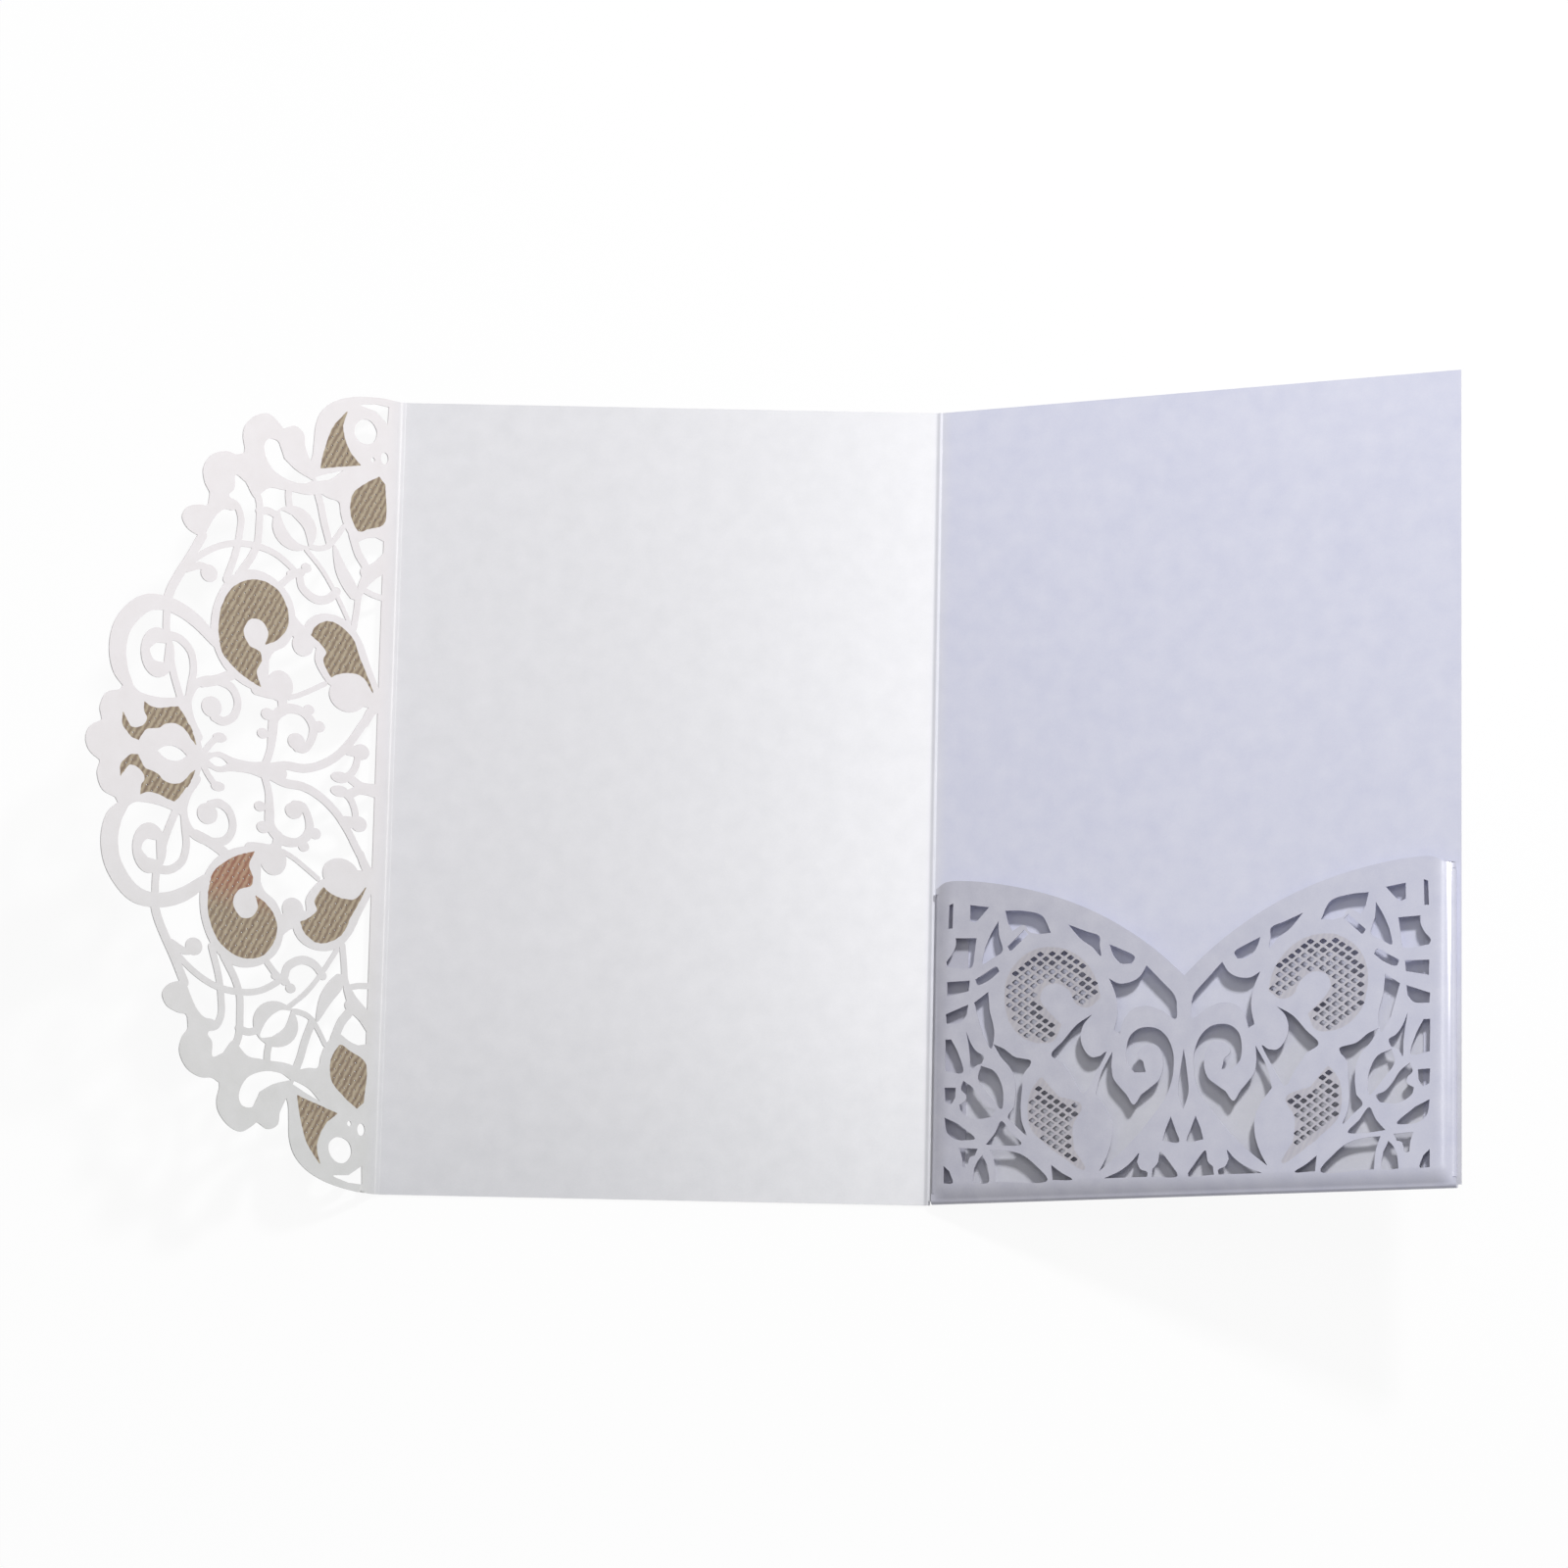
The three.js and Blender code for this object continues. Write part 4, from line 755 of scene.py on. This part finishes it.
# All the lines together cut the flat sheet into triangles, and those on the card are kept. The
# scorched areas reach a little past the nets.
FLAP_SINGE = 0.08
POCKET_SINGE = 0.34
SINGE_FADE = 0.2
SAME_PLACE = 1e-4
burnt_areas = [widened(area, FLAP_SINGE) for area in flap_nets]
burnt_areas += [widened(area, POCKET_SINGE) for area in pocket_nets]
net_edges = [widened(area, by) for area in burnt_areas for by in (-SINGE_FADE, SINGE_FADE)]
places, edges = [], []
for loop in card_loops + cut_loops + hole_loops + net_edges:
    first = len(places)
    places += [Vector(point) for point in loop]
    edges += [(first + index, first + (index + 1) % len(loop)) for index in range(len(loop))]
for line in fold_lines:
    edges.append((len(places), len(places) + 1))
    places += [Vector(point) for point in line]
corners, _, triangles, *_ = delaunay_2d_cdt(places, edges, [], 0, SAME_PLACE, False)
corners, triangles = np.array(corners), np.array(triangles)
a, b, c = (corners[triangles[:, k]] for k in range(3))
areas = ((b[:, 0] - a[:, 0]) * (c[:, 1] - a[:, 1]) - (b[:, 1] - a[:, 1]) * (c[:, 0] - a[:, 0])) / 2
turned = areas < 0
triangles[turned] = triangles[turned][:, ::-1]
middles = (a + b + c) / 3
is_card, is_cut = np.zeros((2, len(triangles)), bool)
for loop in card_loops:
    is_card |= is_inside(middles, loop)
for loop in cut_loops + hole_loops:
    is_cut |= is_inside(middles, loop)

# A chance speck between two strokes of the lace, smaller than this in square millimetres, isn't
# a gap of the card.
SPECK = 0.4
beside = {}
for index, triangle in enumerate(triangles.tolist()):
    for k in range(3):
        beside.setdefault(frozenset((triangle[k], triangle[(k + 1) % 3])), []).append(index)
around = [[] for _ in range(len(triangles))]
for pair in beside.values():
    if len(pair) == 2:
        around[pair[0]].append(pair[1])
        around[pair[1]].append(pair[0])
is_open = ~is_card & ~is_cut
seen = ~is_open
for index in np.flatnonzero(is_open):
    if seen[index]:
        continue
    seen[index] = True
    group = [index]
    for member in group:
        for other in around[member]:
            if not seen[other]:
                seen[other] = True
                group.append(other)
    if abs(areas[group]).sum() < SPECK:
        is_card[group] = True
kept = triangles[is_card & ~is_cut]

# The folding. A point within SLACK of the foot or of a tab's ends, or FOLD_SLACK past the bend of
# the right fold, isn't beyond it yet.
SLACK = 0.01
FOLD_SLACK = 0.1


def swell(distance):
    """How far the pocket front has swelled out at a distance from its edge, from 0 to 1."""
    return 1 - (1 - min(max(distance / SWELL_REACH, 0), 1)) ** 2


def turned_up(across, y, h):
    """A point of the pocket front or of a tab: across, up along and above the back panel."""
    along = FOOT - y
    if along < TURN:
        angle = math.pi * along / TURN
        up = FOOT - (POCKET_BEND - h) * math.sin(angle)
        lift = POCKET_BEND - (POCKET_BEND - h) * math.cos(angle)
    else:
        up = FOOT + along - TURN
        inwards = min(across - POCKET_LEFT, POCKET_RIGHT - across) - TAB_BEND
        lift = 2 * POCKET_BEND - h + POCKET_SWELL * swell(along - TURN) * swell(inwards)
    if tab_low - SLACK < y < tab_high + SLACK:
        for edge, way in ((POCKET_LEFT, -1), (POCKET_RIGHT, 1)):
            start = edge - way * TAB_BEND
            beyond = (across - start) * way
            if beyond > 0:
                angle = math.pi * min(beyond / TAB_TURN, 1)
                across = start + way * (TAB_BEND - h) * math.sin(angle)
                across -= way * max(beyond - TAB_TURN, 0)
                lift = 2 * POCKET_BEND - TAB_BEND + (TAB_BEND - h) * math.cos(angle)
    return across, up, lift


def folded(x, y, h):
    """Where a point of the flat sheet is in the folded card. h is its height in the sheet."""
    is_back = x > RIGHT_FOLD + BACK_REACH + FOLD_SLACK
    if y < (FOOT if is_back else -HALF - SLACK):
        across, y, h = turned_up(x - RIGHT_FOLD, y, h)
        x = RIGHT_FOLD + across
    else:
        for fold in (LEFT_FOLD, RIGHT_FOLD):
            near = max(1 - abs(x - fold) / BEAD_REACH, 0)
            h += BEAD_HEIGHT * near * near * (3 - 2 * near)
    if x > RIGHT_FOLD + BACK_REACH:
        across = x - RIGHT_FOLD
        c, s = math.cos(BACK_RISE), math.sin(BACK_RISE)
        return RIGHT_FOLD + across * c - h * s, y, across * s + h * c
    if x > RIGHT_FOLD - BACK_REACH:
        start = RIGHT_FOLD - BACK_REACH
        angle = BACK_RISE * (x - RIGHT_FOLD + BACK_REACH) / (2 * BACK_REACH)
        radius = BACK_BEND - h
        return start + radius * math.sin(angle), y, BACK_BEND - radius * math.cos(angle)
    if x < LEFT_FOLD - FLAP_REACH:
        across = LEFT_FOLD - x
        c, s = math.cos(FLAP_RISE), math.sin(FLAP_RISE)
        return LEFT_FOLD - across * c + h * s, y, across * s + h * c
    if x < LEFT_FOLD + FLAP_REACH:
        start = LEFT_FOLD + FLAP_REACH
        angle = FLAP_RISE * (start - x) / (2 * FLAP_REACH)
        radius = FLAP_BEND - h
        return start - radius * math.sin(angle), y, FLAP_BEND - radius * math.cos(angle)
    return x, y, h


# The sheet's two sides and the narrow walls along every cut make one closed mesh.
MM_PER_METRE = 1000
SMOOTH_BELOW = math.radians(35)
used, kept = np.unique(kept, return_inverse=True)
kept = kept.reshape(-1, 3)
count = len(used)
flat_places = corners[used]
solid = [folded(x, y, h) for h in (SHEET, 0) for x, y in flat_places.tolist()]
faces = kept.tolist() + (kept[:, ::-1] + count).tolist()
rims = dict.fromkeys(edge for i, j, k in kept.tolist() for edge in ((i, j), (j, k), (k, i)))
walls = [(j, i, i + count, j + count) for i, j in rims if (j, i) not in rims]
mesh = bpy.data.meshes.new("card_sheet")
mesh.from_pydata([Vector(place) / MM_PER_METRE for place in solid], [], faces + walls)
card = bpy.data.objects.new("card_sheet", mesh)
bpy.context.collection.objects.link(card)

# The netting, the pocket front and every cut edge are marked for the paint.
burnt = np.zeros(count)
for area in burnt_areas:
    burnt[is_inside(flat_places, area)] = 1
is_front = (flat_places[:, 0] > 0) & (flat_places[:, 1] < FOOT - TURN / 2)
for name, domain, values in (
    ("scorch", "POINT", np.tile(burnt, 2)),
    ("pocket_front", "POINT", np.tile(is_front.astype(float), 2)),
    ("cut_edge", "FACE", [0.0] * len(faces) + [1.0] * len(walls)),
):
    mesh.attributes.new(name, "FLOAT", domain).data.foreach_set("value", values)

bpy.ops.object.select_all(action="DESELECT")
bpy.context.view_layer.objects.active = card
card.select_set(True)
bpy.ops.object.shade_smooth_by_angle(angle=SMOOTH_BELOW)

# The card is one colour of pearl card, and its tints here are painted light: a lilac painted
# reflection on the panel that leans up on the right, a greyer painted shade on the pocket front and
# a warmer painted light on the flap. The three panels get painted shade towards the foot, and the
# pocket front towards the middle panel. Places are in metres.
FLAP_PAINTED_SHADE, FLAP_PAINTED_LIGHT = (0.65, 0.655, 0.64, 1), (0.80, 0.765, 0.77, 1)
MIDDLE_PAINTED_SHADE, MIDDLE_PAINTED_LIGHT = (0.67, 0.675, 0.705, 1), (0.725, 0.725, 0.755, 1)
BACK_PAINTED_SHADE, BACK_PAINTED_LIGHT = (0.57, 0.575, 0.64, 1), (0.63, 0.645, 0.79, 1)
POCKET_PAINTED_SHADE, POCKET_PAINTED_LIGHT = (0.48, 0.48, 0.57, 1), (0.585, 0.595, 0.73, 1)
SHEEN = (0.98, 0.97, 1, 1)

paint = Paint("pearl_card")
place = paint.node("ShaderNodeTexCoord", output=3)
x, y = (paint.node("ShaderNodeSeparateXYZ", None, {0: place}, axis) for axis in (0, 1))
fine, broad, cloud, mottle = (
    paint.node("ShaderNodeTexNoise", None, {"Vector": place, "Scale": scale, "Detail": detail})
    for scale, detail in ((2600, 2), (24, 2), (200, 4), (700, 3))
)
scorch, edge, front = (
    paint.node("ShaderNodeAttribute", {"attribute_name": name}, None, 2)
    for name in ("scorch", "cut_edge", "pocket_front")
)


def rise(value, start, end):
    """0 up to start, 1 from end, and smooth between."""
    return paint.node(
        "ShaderNodeMapRange", {"interpolation_type": "SMOOTHSTEP"},
        {"Value": value, "From Min": start, "From Max": end},
    )


# Painted shade and light: each panel fades from its painted shade at the foot to its painted light
# higher up, and the pocket front from painted shade near the middle panel to painted light.
flap_light_and_shade = paint.mixed(rise(y, -0.1, 0.02), FLAP_PAINTED_SHADE, FLAP_PAINTED_LIGHT)
middle_light_and_shade = paint.mixed(rise(y, -0.1, -0.04), MIDDLE_PAINTED_SHADE, MIDDLE_PAINTED_LIGHT)
back_light_and_shade = paint.mixed(rise(y, -0.07, -0.03), BACK_PAINTED_SHADE, BACK_PAINTED_LIGHT)
pocket_light_and_shade = paint.mixed(rise(x, 0.06, 0.18), POCKET_PAINTED_SHADE, POCKET_PAINTED_LIGHT)
pearl_with_painted_light = paint.mixed(rise(x, -0.066, -0.060), flap_light_and_shade, middle_light_and_shade)
pearl_with_painted_light = paint.mixed(rise(x, 0.060, 0.066), pearl_with_painted_light, back_light_and_shade)
pearl_with_painted_light = paint.mixed(front, pearl_with_painted_light, pocket_light_and_shade)
pearl_with_painted_light = paint.mixed(0.08 * broad + 0.34 * cloud + 0.14 * fine - 0.13, pearl_with_painted_light, SHEEN)

# The laser has scorched the flap's netting tan, with dark streaks and a red tinge at one leaf,
# and the pocket's netting only a little. The netting's holes are charred.
TAN, STREAK = (0.45, 0.375, 0.265, 1), (0.19, 0.13, 0.09, 1)
RED_TAN, RED_STREAK = (0.46, 0.29, 0.19, 1), (0.28, 0.09, 0.05, 1)
CHAR = (0.04, 0.03, 0.02, 1)
STREAK_TILT = 0.4
STREAK_WAVE = {"Scale": 270, "Distortion": 2.5, "Detail Scale": 3}

burn = rise(scorch + mottle * 0.9 - 0.45, 0.35, 0.65) * (1 - 0.75 * front)
tilted = paint.node("ShaderNodeMapping", None, {"Vector": place, "Rotation": (0, 0, STREAK_TILT)})
streak = paint.node("ShaderNodeTexWave", None, {"Vector": tilted, **STREAK_WAVE}, 1)
streaks = 0.35 * mottle + 0.75 * streak - 0.1
red = (1 - rise(x, -0.085, -0.080)) * (1 - rise(y, -0.018, -0.014)) * rise(y, -0.034, -0.026)
brown = paint.mixed(
    red * 0.8, paint.mixed(streaks, TAN, STREAK), paint.mixed(streaks, RED_TAN, RED_STREAK),
)
sheet = paint.mixed(burn, pearl_with_painted_light, brown)
sheet = paint.mixed(edge * rise(burn, 0, 0.15), sheet, CHAR)
paint.link(sheet, paint.look.inputs["Base Color"])
paint.link(0.22 + 0.06 * fine + 0.3 * burn, paint.look.inputs["Roughness"])
paint.look.inputs["Specular IOR Level"].default_value = 0.7

# The middle panel isn't quite flat, so the light slides over it, and the card has a fine grain.
GRAIN = 1.5e-6
BOW = 0.42
BOW_END = 0.0615
inside = paint.node("ShaderNodeClamp", None, {"Value": x, "Min": -BOW_END, "Max": BOW_END})
height = fine * GRAIN - inside * inside * BOW
relief = paint.node("ShaderNodeBump", None, {"Strength": 1, "Distance": 1, "Height": height})
paint.link(relief, paint.look.inputs["Normal"])
mesh.materials.append(paint.material)
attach(card, "root")
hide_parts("card")
